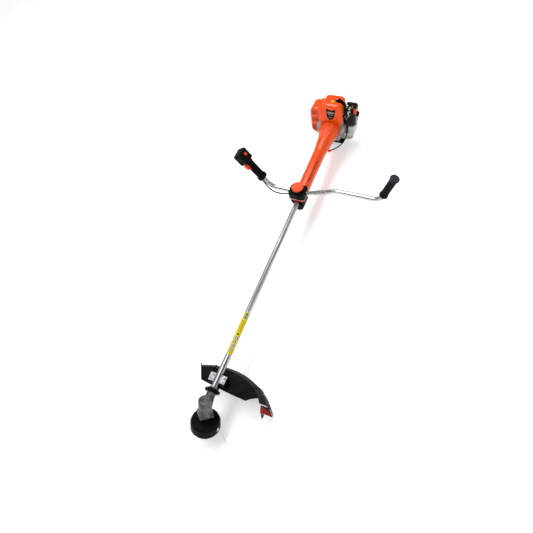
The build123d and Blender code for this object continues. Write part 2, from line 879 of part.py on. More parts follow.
# ---- handle clamp ----
def handle_bracket():
    """The bracket on the tube that carries the handle clamp, tapering below the tube."""
    y0 = handle - 30
    y1 = handle + 30
    top = extrude(Plane.XY.offset(0) * (Pos(0, handle) * RectangleRounded(70, y1 - y0, 10)), clamp_low - 0.5)
    lower = loft(
        [
            Plane.XY * (Pos(0, handle) * RectangleRounded(70, y1 - y0, 10)),
            Plane.XY.offset(-bracket_drop) * (Pos(0, handle) * RectangleRounded(42, y1 - y0 - 14, 8)),
        ]
    )
    nose = rod((nose_side, y0 - 8, -nose_sag), (nose_side, y1, -nose_sag), nose_r)
    nose = fillet(nose.edges().group_by(Axis.Y)[0], 4)
    body = top + lower + nose
    body -= rod((0, y0 - 15, 0), (0, y1 + 5, 0), tube_r + seat)
    return body - rod((0, handle, tube_r + 3), (0, handle, clamp_low + 1), stud_r + run)


def bar_clamp():
    """The clamp block that holds the bar and swivels on the knob's stud."""
    outer = extrude(RectangleRounded(2 * clamp_half_x, 2 * clamp_half_y, 16), clamp_high - clamp_low)
    outer = chamfer(outer.edges().group_by(Axis.Z)[-1], 4)
    body = Pos(0, handle, clamp_low) * outer
    body -= rod((-200, handle, bar_height), (right_rise_x - 12, handle, bar_height), bar_r + seat)
    before, end = [Vector(p) for p in front_cable_points()[-2:]]
    body -= rod(end - (end - before).normalized() * 4, end + (end - before).normalized() * 8, cable_r + seat)
    body -= rod((right_rise_x - 14, handle, bar_height - 2), (right_rise_x + 20, handle, bar_height + 5),
                bar_r + 2)
    return body - rod((0, handle, clamp_low), (0, handle, clamp_high), stud_r + loose)


def clamp_knob():
    """The hand knob with its stud, screwed down through clamp and bar into the bracket."""
    base = clamp_high + 1.5
    wheel = Cylinder(knob_r, knob_h, align=BASE)
    wheel = fillet(wheel.edges().group_by(Axis.Z)[-1], 5)
    lobes = 12
    for k in range(lobes):
        angle = 2 * math.pi * k / lobes
        wheel -= Pos((knob_r + 2.6) * math.cos(angle), (knob_r + 2.6) * math.sin(angle), 0) * Cylinder(
            4.5, knob_h, align=BASE)
    wheel = Pos(0, handle, base) * wheel
    boss = rod((0, handle, clamp_high + 0.3), (0, handle, base), 13)
    stud = rod((0, handle, tube_r + 4), (0, handle, base), stud_r)
    return wheel + boss + stud


# ---- rear housing ----
def housing_section(y, half, radius, grow=0.0):
    """A rounded square section of the rear housing."""
    plane = Plane(origin=(0, y, 0), x_dir=(1, 0, 0), z_dir=(0, 1, 0))
    return plane * RectangleRounded(2 * (half + grow), 2 * (half + grow), radius + grow)


def housing_form(grow=0.0):
    """The rear housing's form: a slim square front, widening to the round engine flange."""
    sections = [
        housing_section(housing_front, housing_front_half, housing_front_corner, grow),
        housing_section(housing_waist_y, housing_waist_half, housing_waist_corner, grow),
        housing_section(housing_shoulder_y, housing_shoulder_half, housing_shoulder_corner, grow),
        housing_section(flange, housing_flange_r, housing_flange_r - 6, grow),
    ]
    form = loft(sections[0:2], ruled=True)
    form += loft(sections[1:3], ruled=True)
    return form + loft(sections[2:4], ruled=True)


def rear_housing():
    """The long moulded housing over the tube's rear end, with webs that hold the tube."""
    body = housing_form()
    room = housing_form(-housing_wall)
    room &= block(-100, 100, housing_front + 5, flange - 6, -100, 100)
    for y, depth in ((housing_front + 70, 8), (tube_back - 14, 8)):
        room -= block(-100, 100, y, y + depth, -100, 100)
    hub_y = drum_front - drum_wall - bearing_w - 2
    room -= block(-100, 100, hub_y, hub_y + bearing_w, -100, 100)
    body -= room
    body -= rod((0, housing_front - 5, 0), (0, hub_y - 6, 0), tube_r + seat)
    body -= rod((0, hub_y - 8, 0), (0, hub_y + bearing_w, 0), bearing_r + seat)
    body -= rod((0, flange - 10, 0), (0, flange, 0), drum_r + 3)
    eye = rod((-eye_t / 2, eye_y, eye_drop()), (eye_t / 2, eye_y, eye_drop()), eye_r + 6)
    stem = block(-eye_t / 2, eye_t / 2, eye_y - 14, eye_y + 14, eye_drop(), -housing_front_half + 1)
    eye = eye + stem - rod((-9, eye_y, eye_drop()), (9, eye_y, eye_drop()), eye_r)
    for x, z in around(4, flange_screw_circle, 45):
        body -= rod((x, flange - 7, z), (x, flange + 1, z), screw_r + seat)
    before, end = [Vector(*p) for p in rear_cable_points()[-2:]]
    way = (before - end).normalized()
    boss = rod(end - way * 9, end + way * 5, cable_r + 3.5)
    boss -= rod(end, end + way * 6, cable_r + seat)
    inside = housing_form(-housing_wall)
    return body + eye + (boss - inside)


def eye_drop():
    """Height of the harness eye's centre, below the housing."""
    return -housing_front_half - eye_r - 5


def front_damper():
    """The rubber ring between the handle bracket and the front of the rear housing."""
    y0 = handle + 30
    plane = Plane(origin=(0, y0, 0), x_dir=(1, 0, 0), z_dir=(0, 1, 0))
    half = housing_front_half - 2
    ring = extrude(plane * RectangleRounded(2 * half, 2 * half, housing_front_corner - 2), housing_front - y0)
    return ring - rod((0, y0 - 1, 0), (0, housing_front + 1, 0), tube_r + seat)


# ---- clutch, crankshaft and fan ----
def clutch_shoes():
    """The two weighted shoes on the crankshaft's front end, in their arm."""
    y0 = drum_front + 4
    y1 = drum_back - 4
    outer = drum_r - drum_wall - shoe_gap
    ring = pipe((0, y0, 0), (0, y1, 0), outer, 15)
    gap = block(-outer, outer, y0, y1, -2, 2)
    arm = pipe((0, y0 + 3, 0), (0, y1 - 3, 0), 14.8, bearing_bore_r - run + seat)
    halves = (ring - gap).solids()
    return group(list(halves) + [arm])


def crankshaft():
    """The two halves of the crankshaft, each a journal with its round web."""
    journal = bearing_bore_r - run
    start = crankcase_front + crankcase_wall + web_gap
    finish = crankcase_back - crankcase_wall - web_gap
    front_web = (start, start + web_t)
    back_web = (finish - web_t, finish)
    front = rod((0, drum_front + 3, 0), (0, front_web[0], 0), journal)
    front += rod((0, front_web[0], 0), (0, front_web[1], 0), web_r)
    back = rod((0, back_web[1], 0), (0, crankcase_back + 24, 0), journal)
    back += rod((0, back_web[0], 0), (0, back_web[1], 0), web_r)
    back += pipe((0, crankcase_back + 14, 0), (0, crankcase_back + 24, 0), 13, journal - 1)
    return group([front, back])


def flywheel():
    """The finned flywheel that blows cooling air over the cylinder."""
    y0 = flange + 14
    y1 = y0 + flywheel_t
    disc = rod((0, y1 - 5, 0), (0, y1, 0), flywheel_r)
    hub = rod((0, y0 - 4, 0), (0, y1, 0), 16)
    wheel = disc + hub
    for x, z in around(16, 1.0):
        blade = block(20, flywheel_r - 2, y0, y1 - 5, -1.2, 1.2)
        wheel += Rot(0, math.degrees(math.atan2(z, x)), 0) * blade
    return wheel - rod((0, y0 - 10, 0), (0, y1 + 10, 0), bearing_bore_r - run + seat)


# ---- castings round the crankshaft ----
def fan_housing():
    """The cast fan housing that the rear housing bolts to."""
    shell = rod((0, flange, 0), (0, fan_case_back, 0), fan_case_r)
    shell = fillet(shell.edges().group_by(Axis.Y)[0], 6)
    shell -= rod((0, flange + 5, 0), (0, fan_case_back, 0), fan_case_r - fan_case_wall)
    shell -= rod((0, flange - 1, 0), (0, flange + 6, 0), drum_r + 2)
    for x, z in around(4, flange_screw_circle, 45):
        shell -= rod((x, flange - 1, z), (x, flange + 6, z), screw_r + seat)
    shell -= rod(plug_lead_points()[-1], plug_lead_points()[-2], cable_r + 1.5)
    foot = block(-46, 46, flange + 8, fan_case_back, -fan_case_r - 8, -fan_case_r + 12)
    foot -= rod((0, flange, 0), (0, fan_case_back, 0), fan_case_r - 1)
    return shell + foot


def coil_y():
    """Middle of the ignition coil, in line with the flywheel's rim."""
    return flange + 14 + flywheel_t - 6


def crankcase():
    """The cast crankcase: bearing walls, a deck for the cylinder and a plate behind the fan."""
    body = rod((0, crankcase_front, 0), (0, crankcase_back, 0), crankcase_r)
    body += block(-31, 31, crankcase_front, crankcase_back, 0, deck_height)
    body += rod((0, crankcase_front, 0), (0, crankcase_front + plate_flange_t, 0), fan_case_r - 0.5)
    body += rod((0, crankcase_back - plate_flange_t, 0), (0, crankcase_back, 0), starter_r)
    y0 = crankcase_front + crankcase_wall + 2
    y1 = crankcase_back - crankcase_wall - 2
    body -= rod((0, y0, 0), (0, y1, 0), web_r + 2.5)
    body -= rod((0, cylinder_y, 0), (0, cylinder_y, deck_height), barrel_r - 2 + seat)
    body -= rod((0, crankcase_front - 1, 0), (0, crankcase_back + 1, 0), bearing_bore_r + 1)
    body -= rod((0, crankcase_front + 1, 0), (0, y0, 0), bearing_r + seat)
    body -= rod((0, y1, 0), (0, crankcase_back - 1, 0), bearing_r + seat)
    for y in (crankcase_front + 18, crankcase_back - 12):
        lug = block(-8, 8, y - 5, y + 5, tank_high, -38)
        body += lug
    return body


def tank_y():
    """Front of the fuel tank."""
    return flange + tank_front


def cylinder():
    """The finned cylinder with its intake and exhaust bosses and plug seat."""
    top = fin_first + fin_pitch * (fin_count - 1) + fin_t
    barrel = rod((0, cylinder_y, deck_height), (0, cylinder_y, top), barrel_r)
    spigot = rod((0, cylinder_y, deck_height - spigot_h), (0, cylinder_y, deck_height), barrel_r - 2)
    foot = block(-30, 30, cylinder_y - cylinder_foot, cylinder_y + cylinder_foot, deck_height, deck_height + 6)
    body = barrel + spigot + foot
    for k in range(fin_count):
        z = fin_first + k * fin_pitch
        fin = block(-fin_half_x, fin_half_x, cylinder_y - fin_front, cylinder_y + fin_back, z, z + fin_t)
        body += fillet(fin.edges().filter_by(Axis.Z), 12)
    body += rod((fin_half_x + 4, cylinder_y, intake_z), (bore_r, cylinder_y, intake_z), port_r + 6)
    body += rod((-fin_half_x - 4, cylinder_y, exhaust_z), (-bore_r, cylinder_y, exhaust_z), port_r + 6)
    body += rod(plug_point(-14), plug_point(0), 12)
    body -= rod((0, cylinder_y, deck_height - spigot_h - 1), (0, cylinder_y, chamber_top()), bore_r)
    body -= rod((fin_half_x + 5, cylinder_y, intake_z), (0, cylinder_y, intake_z), port_r)
    body -= rod((-fin_half_x - 5, cylinder_y, exhaust_z), (0, cylinder_y, exhaust_z), port_r)
    return body - rod(plug_point(-30), plug_point(1), 5 + seat)


def chamber_top():
    """Top of the combustion chamber, above the piston's highest place."""
    return rod_length + crank_r + piston_crown + head_gap


def plug_point(along):
    """A point on the spark plug's axis, measured out from its seat."""
    way = Vector(0.60, -0.26, 0.757).normalized()
    seat_point = Vector(11, cylinder_y - 3, fin_first + fin_pitch * (fin_count - 1) + 10.5)
    return tuple(seat_point + way * along)


def pin_height():
    """The gudgeon pin's height with the piston at the bottom of its stroke."""
    return rod_length - crank_r


def piston():
    """The piston with its pin, at the bottom of its stroke."""
    low = pin_height() - piston_skirt
    high = pin_height() + piston_crown
    body = rod((0, cylinder_y, low), (0, cylinder_y, high), bore_r - run)
    body -= rod((0, cylinder_y, low - 1), (0, cylinder_y, high - 4), bore_r - 3)
    pin = rod((0, cylinder_y - bore_r + 1.5, pin_height()), (0, cylinder_y + bore_r - 1.5, pin_height()), pin_r)
    return body + pin


def connecting_rod():
    """The rod from the piston pin down between the crank webs."""
    y0 = cylinder_y - rod_t / 2
    y1 = cylinder_y + rod_t / 2
    big = rod((0, y0, -crank_r), (0, y1, -crank_r), 11)
    small = rod((0, y0, pin_height()), (0, y1, pin_height()), pin_r + 4)
    shank = block(-5, 5, y0 + 1.5, y1 - 1.5, -crank_r, pin_height())
    body = big + small + shank
    body -= rod((0, y0 - 1, -crank_r), (0, y1 + 1, -crank_r), 7)
    return body - rod((0, y0 - 1, pin_height()), (0, y1 + 1, pin_height()), pin_r + seat)


# ---- ignition ----
def spark_plug():
    """The spark plug: thread, hexagon and insulator."""
    base = Plane(origin=plug_point(0), z_dir=Vector(*plug_point(1)) - Vector(*plug_point(0)))
    thread = Pos(0, 0, -16) * Cylinder(5, 16, align=BASE)
    hexagon = extrude(RegularPolygon(10, 6), 10)
    insulator = Pos(0, 0, 10) * Cylinder(5, 26, align=BASE)
    terminal = Pos(0, 0, 36) * Cylinder(3, 7, align=BASE)
    return base * (thread + hexagon + insulator + terminal)


def plug_lead_points():
    """Route of the plug lead: out of the boot's elbow, down behind the cover, into the coil."""
    y = coil_y()
    elbow = plug_point(44)
    return [
        (elbow[0] + 24, elbow[1] - 4.5, elbow[2] - 10.5),
        (elbow[0] + 33, elbow[1] - 9, elbow[2] - 24),
        (elbow[0] + 36, elbow[1] - 20, elbow[2] - 48),
        (72, y + 7, 84),
        (62, y + 5, 67),
        (40, y, 54),
    ]


def ignition_module():
    """The coil beside the flywheel, its lead and the rubber boot over the plug."""
    y = coil_y()
    coil = block(18, 50, y - 9, y + 9, 47, 62)
    coil &= rod((0, y - 20, 0), (0, y + 20, 0), fan_case_r - fan_case_wall - 1)
    coil -= rod((0, y - 20, 0), (0, y + 20, 0), flywheel_r + air)
    boot_base = Plane(origin=plug_point(0), z_dir=Vector(*plug_point(1)) - Vector(*plug_point(0)))
    room = boot_base * (Pos(0, 0, 10) * Cylinder(5 + seat, 33.2, align=BASE))
    elbow = plug_point(44)
    arm_end = (elbow[0] + 32, elbow[1] - 6, elbow[2] - 14)
    boot = boot_base * (Pos(0, 0, 14) * Cylinder(9.5, 30, align=BASE)) + Pos(*elbow) * Sphere(10.5)
    boot = boot + taper(elbow, arm_end, 8.6, 7.0) - room
    lead = cord_tube("plug_lead", plug_lead_points(), cable_r)
    return coil + lead + boot


# ---- starter ----
def starter_housing():
    """The cup that closes the rear of the engine, with air slots and the reel's post."""
    y0 = crankcase_back
    y1 = y0 + starter_depth
    shell = rod((0, y0, 0), (0, y1, 0), starter_r)
    shell = fillet(shell.edges().group_by(Axis.Y)[-1], 14)
    room = rod((0, y0 - 1, 0), (0, y1 - 4, 0), starter_r - 3)
    shell -= fillet(room.edges().group_by(Axis.Y)[-1], 12)
    for k in range(14):
        slot = block(22, 44, y1 - 9, y1 + 1, -2.2, 2.2)
        shell -= Rot(0, 360 * k / 14, 0) * slot
    post = rod((0, reel_y() - 7, 0), (0, y1 - 2, 0), 5)
    exit_x = -reel_r - rope_r - loose
    guide = pipe((exit_x, reel_y(), starter_r - 12), (exit_x, reel_y(), starter_r + 3), 6, rope_r + air)
    guide -= rod((0, y0 - 1, 0), (0, y1 - 4, 0), starter_r - 3)
    shell -= rod((exit_x, reel_y(), 20), (exit_x, reel_y(), starter_r + 9), rope_r + air)
    return shell + post + guide


def reel_y():
    """Middle of the starter reel."""
    return crankcase_back + starter_depth - reel_back


def starter_reel():
    """The grooved reel that the starter rope winds on."""
    y = reel_y()
    body = rod((0, y - 6, 0), (0, y + 6, 0), reel_r + 7)
    groove = pipe((0, y - 3, 0), (0, y + 3, 0), reel_r + 8, reel_r)
    return body - groove - rod((0, y - 8, 0), (0, y + 8, 0), 5 + run)


def starter_handle():
    """The pull handle and the first stretch of rope, straight off the reel."""
    x = -reel_r - rope_r - loose
    y = reel_y()
    rope = rod((x, y, 0), (x, y, starter_r + 12), rope_r)
    stem = taper((x, y, starter_r + 4.5), (x, y, starter_r + 16), 6, 8)
    bar = block(x - 22, x + 22, y - 8, y + 8, starter_r + 14, starter_r + 28)
    bar = fillet(bar.edges(), 5)
    return rope + stem + bar


# ---- engine covers ----
def cover_form(inset):
    """The cover's form: upright at the rear, its front and sides leaning in to the top."""
    y0 = flange + cover_front + inset
    y1 = flange + cover_back - inset
    corner = cover_corner_r - inset
    low = cover_low - (1 if inset else 0)
    sections = []
    for z, lean, shift in ((low, 0.0, 0.0), (cover_low + 40, 0.0, 0.0), (cover_top - inset, cover_lean, cover_shift)):
        wide = cover_right - cover_left - 2 * inset - 2 * lean
        deep = y1 - y0 - lean
        middle = Pos((cover_left + cover_right) / 2 + shift, y1 - deep / 2, z)
        sections.append(middle * RectangleRounded(wide, deep, corner))
    form = loft(sections[0:2], ruled=True) + loft(sections[1:3], ruled=True)
    return fillet(form.edges().group_by(Axis.Z)[-1], 16 - inset)


def engine_cover():
    """The moulded top cover over the cylinder and fan housing, reaching forward to the cone."""
    y1 = flange + cover_back
    shell = cover_form(0.0) - cover_form(cover_wall)
    shell -= rod((0, flange - 30, 0), (0, flange + 1, 0), housing_flange_r + 4)
    shell -= rod((0, flange - 1, 0), (0, fan_case_back + 8, 0), fan_case_r + 0.8)
    shell -= rod((0, fan_case_back, 0), (0, flange + 200, 0), starter_r + 8)
    shell -= block(cover_right - 14, cover_right + 5, cylinder_y - 22, cylinder_y + 22, 46, 110)
    shell -= block(cover_right - 14, cover_right + 5, flange + 14, cylinder_y - 16, 20, 92)
    shell -= block(cover_left - 5, cover_left + 12, cylinder_y - 25, cylinder_y + 25, 20, 112)
    shell -= rod(plug_point(10), plug_point(90), 14)
    elbow = plug_point(44)
    shell -= rod(elbow, (elbow[0] + 64, elbow[1] - 12, elbow[2] - 28), 12)
    for k in range(6):
        z = cover_top - 34 - 11 * k
        shell -= block(-38, 38, y1 - 6, y1 + 1, z, z + 5)
    return shell


def muffler_cover():
    """The moulded guard over the muffler, with three groups of slots."""
    y0 = flange + muffler_front
    y1 = flange + muffler_back
    right = cover_left - 0.5
    outer = block(muffler_left, right, y0, y1, muffler_low, muffler_high)
    outer = fillet(outer.edges().filter_by(Axis.Y).group_by(Axis.X)[0], muffler_corner_r)
    outer = fillet(outer.edges().filter_by(Axis.Z).group_by(Axis.X)[0], muffler_corner_r / 2)
    inner = block(muffler_left + cover_wall, right + 1, y0 + cover_wall, y1 - cover_wall,
                  muffler_low + cover_wall, muffler_high - cover_wall)
    inner = fillet(inner.edges().filter_by(Axis.Y).group_by(Axis.X)[0], muffler_corner_r - cover_wall)
    inner = fillet(inner.edges().filter_by(Axis.Z).group_by(Axis.X)[0], muffler_corner_r / 2 - cover_wall)
    bridge = cover_lean + cover_shift
    outer += block(right - 1, right + bridge, y0, y1, cover_low + 4, muffler_high)
    inner += block(right - 1, right + bridge + 1, y0 + cover_wall, y1 - cover_wall,
                   cover_low + 3, muffler_high - cover_wall)
    shell = outer - inner - cover_form(-0.5)
    shell -= rod((0, flange - 10, 0), (0, crankcase_front + plate_flange_t + 1, 0), fan_case_r + 0.8)
    for k in range(5):
        x = muffler_left + 14 + 7 * k
        for z0, z1 in ((78, 106), (32, 62), (-22, 14)):
            shell -= block(x, x + 3.4, y0 - 1, y0 + 6, z0, z1)
    for k in range(6):
        y = y0 + 11 + 9 * k
        for z0, z1 in ((0, 32), (46, 78)):
            shell -= block(muffler_left - 1, muffler_left + 6, y, y + 4, z0, z1)
    return shell


def muffler():
    """The pressed-steel muffler box on the exhaust boss, with its outlet."""
    x0 = muffler_left + 9
    x1 = cover_left - 2.5
    front = crankcase_front + plate_flange_t + 2.5
    body = block(x0, x1, front, cylinder_y + 17, -16, 86)
    body = fillet(body.edges(), 12)
    neck = rod((x1 - 1, cylinder_y, exhaust_z), (-fin_half_x - 4, cylinder_y, exhaust_z), port_r + 5)
    outlet = pipe((x0 + 18, cylinder_y + 15, 78), (x0 + 18, cylinder_y + 22, 78), 6, 4.5)
    return body + neck + outlet


# ---- intake side ----
def carburettor():
    """The carburettor block with its intake spigots and the primer's seat."""
    y = cylinder_y
    insulator = rod((fin_half_x + 4, y, intake_z), (fin_half_x + 10, y, intake_z), port_r + 6)
    body = block(fin_half_x + 10, backplate_x - 4, y - 17, y + 17, intake_z - 16, intake_z + 18)
    mouth = rod((backplate_x - 4, y, intake_z), (backplate_x, y, intake_z), 14)
    body = insulator + body + mouth
    body -= rod((fin_half_x, y, intake_z), (backplate_x + 1, y, intake_z), 8)
    px = fin_half_x + 22
    ring = pipe((px, y + 8, intake_z - 22), (px, y + 8, intake_z - 16), 11.5, 9 + loose)
    body -= rod((px, y + 8, intake_z - 17), (px, y + 8, intake_z - 12), 9 + loose)
    return body + ring


def primer_bulb():
    """The soft dome that is pressed to prime the carburettor."""
    px = fin_half_x + 22
    y = cylinder_y + 8
    dome = rod((px, y, intake_z - 26), (px, y, intake_z - 17), 9)
    return fillet(dome.edges().group_by(Axis.Z)[0], 4)


def filter_backplate():
    """The plate that the air filter sits on, with a tab for the choke lever."""
    y0 = flange + filter_front + 4
    y1 = flange + filter_back - 4
    plate = block(backplate_x, backplate_x + backplate_t, y0, y1, filter_low + 4, filter_high - 6)
    plate = fillet(plate.edges().filter_by(Axis.X), filter_corner_r - 4)
    tab = block(backplate_x, backplate_x + backplate_t, y1 - 8, y1 + 21, choke_z - 8, choke_z + 8)
    plate = plate + tab
    plate -= rod((backplate_x - 1, y1 + 14, choke_z), (backplate_x + 5, y1 + 14, choke_z), 2.5 + run)
    return plate - rod((backplate_x - 1, cylinder_y, intake_z), (backplate_x + 5, cylinder_y, intake_z), 8)


def choke_lever():
    """The choke lever on its pin at the rear of the filter's plate."""
    y = flange + filter_back - 4 + 14
    pin = rod((backplate_x - 6.5, y, choke_z), (backplate_x + 4.5, y, choke_z), 2.5)
    arm = block(backplate_x - 6.5, backplate_x - 2.5, y - 5, y + 26, choke_z - 5, choke_z + 5)
    return pin + fillet(arm.edges().filter_by(Axis.X), 4)


def filter_element():
    """The pleated filter inside the cover."""
    x0 = backplate_x + 4
    y = latch_y()
    body = block(x0, x0 + 22, y - 26, y + 26, latch_z - 40, latch_z + 40)
    return fillet(body.edges().filter_by(Axis.X), 10)


def filter_cover():
    """The glossy moulded air filter cover, hollow behind."""
    y0 = flange + filter_front
    y1 = flange + filter_back
    x0 = backplate_x - 9
    outer = block(x0, filter_right, y0, y1, filter_low, filter_high)
    outer = fillet(outer.edges().filter_by(Axis.X), filter_corner_r)
    outer = fillet(outer.edges().group_by(Axis.X)[-1], 16)
    inner = block(x0 - 1, filter_right - cover_wall, y0 + cover_wall, y1 - cover_wall,
                  filter_low + cover_wall, filter_high - cover_wall)
    inner = fillet(inner.edges().filter_by(Axis.X), filter_corner_r - cover_wall)
    inner = fillet(inner.edges().group_by(Axis.X)[-1], 16 - cover_wall)
    shell = outer - inner
    shell -= block(x0 - 1, backplate_x + 4.1, y1 - 5, y1 + 5, choke_z - 8.1, choke_z + 8.1)
    elbow = plug_point(44)
    shell -= rod(elbow, (elbow[0] + 64, elbow[1] - 12, elbow[2] - 28), 13)
    shell -= block(x0 - 1, backplate_x + 5, flange + filter_front - 1, cylinder_y - 14, 60, filter_high - 22)
    shell -= block(x0 - 1, x0 + 4, flange + filter_front - 1, cylinder_y - 14, filter_high - 24, filter_high - 3)
    shell -= rod((0, flange, 0), (0, fan_case_back + 5, 0), fan_case_r + 0.8)
    shell -= block(x0 - 1, backplate_x + 5, cylinder_y - 42, cylinder_y + 2, filter_low - 6, filter_low + 20)
    boss = rod((backplate_x + 28.5, latch_y(), latch_z), (filter_right - 1, latch_y(), latch_z), 7)
    shell = shell + boss
    return shell - rod((backplate_x + 20, latch_y(), latch_z), (filter_right + 1, latch_y(), latch_z), 4 + loose)


def latch_y():
    """Middle of the filter cover, front to rear."""
    return flange + (filter_front + filter_back) / 2


def filter_latch():
    """The knob whose screw holds the filter cover on."""
    y = latch_y()
    knob = rod((filter_right + 0.3, y, latch_z), (filter_right + 9, y, latch_z), 13)
    for k in range(8):
        angle = 2 * math.pi * k / 8
        knob -= rod((filter_right, y + 14.5 * math.cos(angle), latch_z + 14.5 * math.sin(angle)),
                    (filter_right + 10, y + 14.5 * math.cos(angle), latch_z + 14.5 * math.sin(angle)), 3)
    screw = rod((backplate_x + 29, y, latch_z), (filter_right + 1, y, latch_z), 4)
    return knob + screw


# ---- tank ----
def tank_form(inset):
    """The tank's form: a low body under the crankcase and a tower on the intake side."""
    y0 = tank_y() + inset
    y1 = tank_y() + tank_depth - inset
    low = block(tank_left + inset, tank_right - inset, y0, y1, tank_low + inset, tank_high - inset)
    tower = block(tower_left + inset, tank_right - inset, y0, y1, tank_low + inset, tower_high - inset)
    body = low + tower
    right_low = body.edges().filter_by(Axis.Y).sort_by(lambda edge: edge.center().X - edge.center().Z)[-1]
    body = fillet(right_low, tank_corner_r - inset)
    sharp = [e for e in body.edges().filter_by(Axis.Y) if e.center().X < tank_right - tank_corner_r
             or e.center().Z > tank_high]
    return fillet(sharp, 12 - inset)


def fuel_tank():
    """The translucent tank, with its filler neck on the rear face."""
    body = tank_form(0.0) - tank_form(tank_wall)
    y = tank_y() + tank_depth
    neck = rod((cap_x, y, cap_z), (cap_x, y + 12, cap_z), 12)
    body += neck
    return body - rod((cap_x, y - 3, cap_z), (cap_x, y + 13, cap_z), 10)


def fuel_cap():
    """The screw cap over the filler neck."""
    y = tank_y() + tank_depth
    cap = rod((cap_x, y + 1, cap_z), (cap_x, y + 17, cap_z), 16.5)
    cap = fillet(cap.edges().group_by(Axis.Y)[-1], 3)
    cap -= rod((cap_x, y, cap_z), (cap_x, y + 12.5, cap_z), 12 + loose)
    for k in range(10):
        angle = 2 * math.pi * k / 10
        x = cap_x + 18 * math.cos(angle)
        z = cap_z + 18 * math.sin(angle)
        cap -= rod((x, y, z), (x, y + 18, z), 2.8)
    return cap


def tank_stand():
    """The moulded stand under the tank: a plate with a flat foot and an upright in front."""
    plate = block(-stand_half_x, stand_half_x, foot_y - stand_half_y, foot_y + stand_half_y,
                  -foot_drop, -foot_drop + stand_t)
    plate = fillet(plate.edges().filter_by(Axis.Z), 12)
    for x in (-stand_half_x + 8, stand_half_x - 16):
        plate += block(x, x + 8, flange + tank_front + 3, foot_y + stand_half_y - 6, -foot_drop + stand_t, tank_low)
    upright = block(-46, 46, foot_y - stand_half_y, flange + tank_front - 3, -foot_drop + stand_t, -fan_case_r - 8)
    return plate + upright


# ---- cable, screws ----
def rear_cable_points():
    """Route of the rear cable, from the carburettor round to its boss on the rear housing."""
    x = backplate_x - 8
    y = cylinder_y - 6
    z = intake_z - 16
    return [
        (x, y, z),
        (x, y, z - 18),
        (x + 3, y - 6, z - 40),
        (x + 8.5, y - 19, z - 63),
        (x + 13, y - 40, z - 86),
        (x + 13, y - 68, z - 102),
        (x + 8, y - 98, z - 109),
        (x - 6, y - 132, z - 108),
        (x - 21, y - 162, z - 100),
        (x - 35, y - 188, z - 89),
    ]


def rear_throttle_cable():
    """The sheathed cable from the rear housing up to the carburettor."""
    return cord_tube("rear_throttle_cable", rear_cable_points(), cable_r)


def cap_screws():
    """All the M5 cap screws: guard plates, flange, starter, covers and grip."""
    screws = []
    for x, y in plate_screw_places():
        screws.append(cap_screw((x, y, 3 + plate_t), (0, 0, 1), 18))
    for x, z in around(4, flange_screw_circle, 45):
        screws.append(cap_screw((x, flange + 5, z), (0, 1, 0), 10))
    return group(screws)


# ---- write every piece, moved to the row frame ----
pieces = {
    "main_tube": main_tube,
    "shaft_bushings": shaft_bushings,
    "drive_shaft": drive_shaft,
    "clutch_drum": clutch_drum,
    "input_pinion": input_pinion,
    "output_gear": output_gear,
    "gear_case": gear_case,
    "ball_bearings": ball_bearings,
    "head_body": head_body,
    "line_eyelets": line_eyelets,
    "line_spool": line_spool,
    "bump_knob": bump_knob,
    "head_spring": head_spring,
    "trimmer_line": trimmer_line,
    "debris_guard": debris_guard,
    "knife_cover": knife_cover,
    "line_knife": line_knife,
    "guard_bracket": guard_bracket,
    "guard_clamp_plates": guard_clamp_plates,
    "handlebar_tube": handlebar_tube,
    "throttle_grip_left": lambda: grip_half(-1),
    "throttle_grip_right": lambda: grip_half(1),
    "throttle_trigger": throttle_trigger,
    "trigger_lockout": trigger_lockout,
    "stop_switch": stop_switch,
    "plain_grip": plain_grip,
    "front_throttle_cable": front_throttle_cable,
    "handle_bracket": handle_bracket,
    "bar_clamp": bar_clamp,
    "clamp_knob": clamp_knob,
    "rear_housing": rear_housing,
    "front_damper": front_damper,
    "clutch_shoes": clutch_shoes,
    "crankshaft": crankshaft,
    "flywheel": flywheel,
    "fan_housing": fan_housing,
    "crankcase": crankcase,
    "cylinder": cylinder,
    "piston": piston,
    "connecting_rod": connecting_rod,
    "spark_plug": spark_plug,
    "ignition_module": ignition_module,
    "starter_housing": starter_housing,
    "starter_reel": starter_reel,
    "starter_handle": starter_handle,
    "engine_cover": engine_cover,
    "muffler_cover": muffler_cover,
    "muffler": muffler,
    "carburettor": carburettor,
    "primer_bulb": primer_bulb,
    "filter_backplate": filter_backplate,
    "choke_lever": choke_lever,
    "filter_element": filter_element,
    "filter_cover": filter_cover,
    "filter_latch": filter_latch,
    "fuel_tank": fuel_tank,
    "fuel_cap": fuel_cap,
    "tank_stand": tank_stand,
    "rear_throttle_cable": rear_throttle_cable,
    "cap_screws": cap_screws,
}

os.makedirs("parts", exist_ok=True)
for name, make in pieces.items():
    shape = Location(row_shift) * make()
    export_step(shape, f"parts/{name}.step")
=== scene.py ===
import math

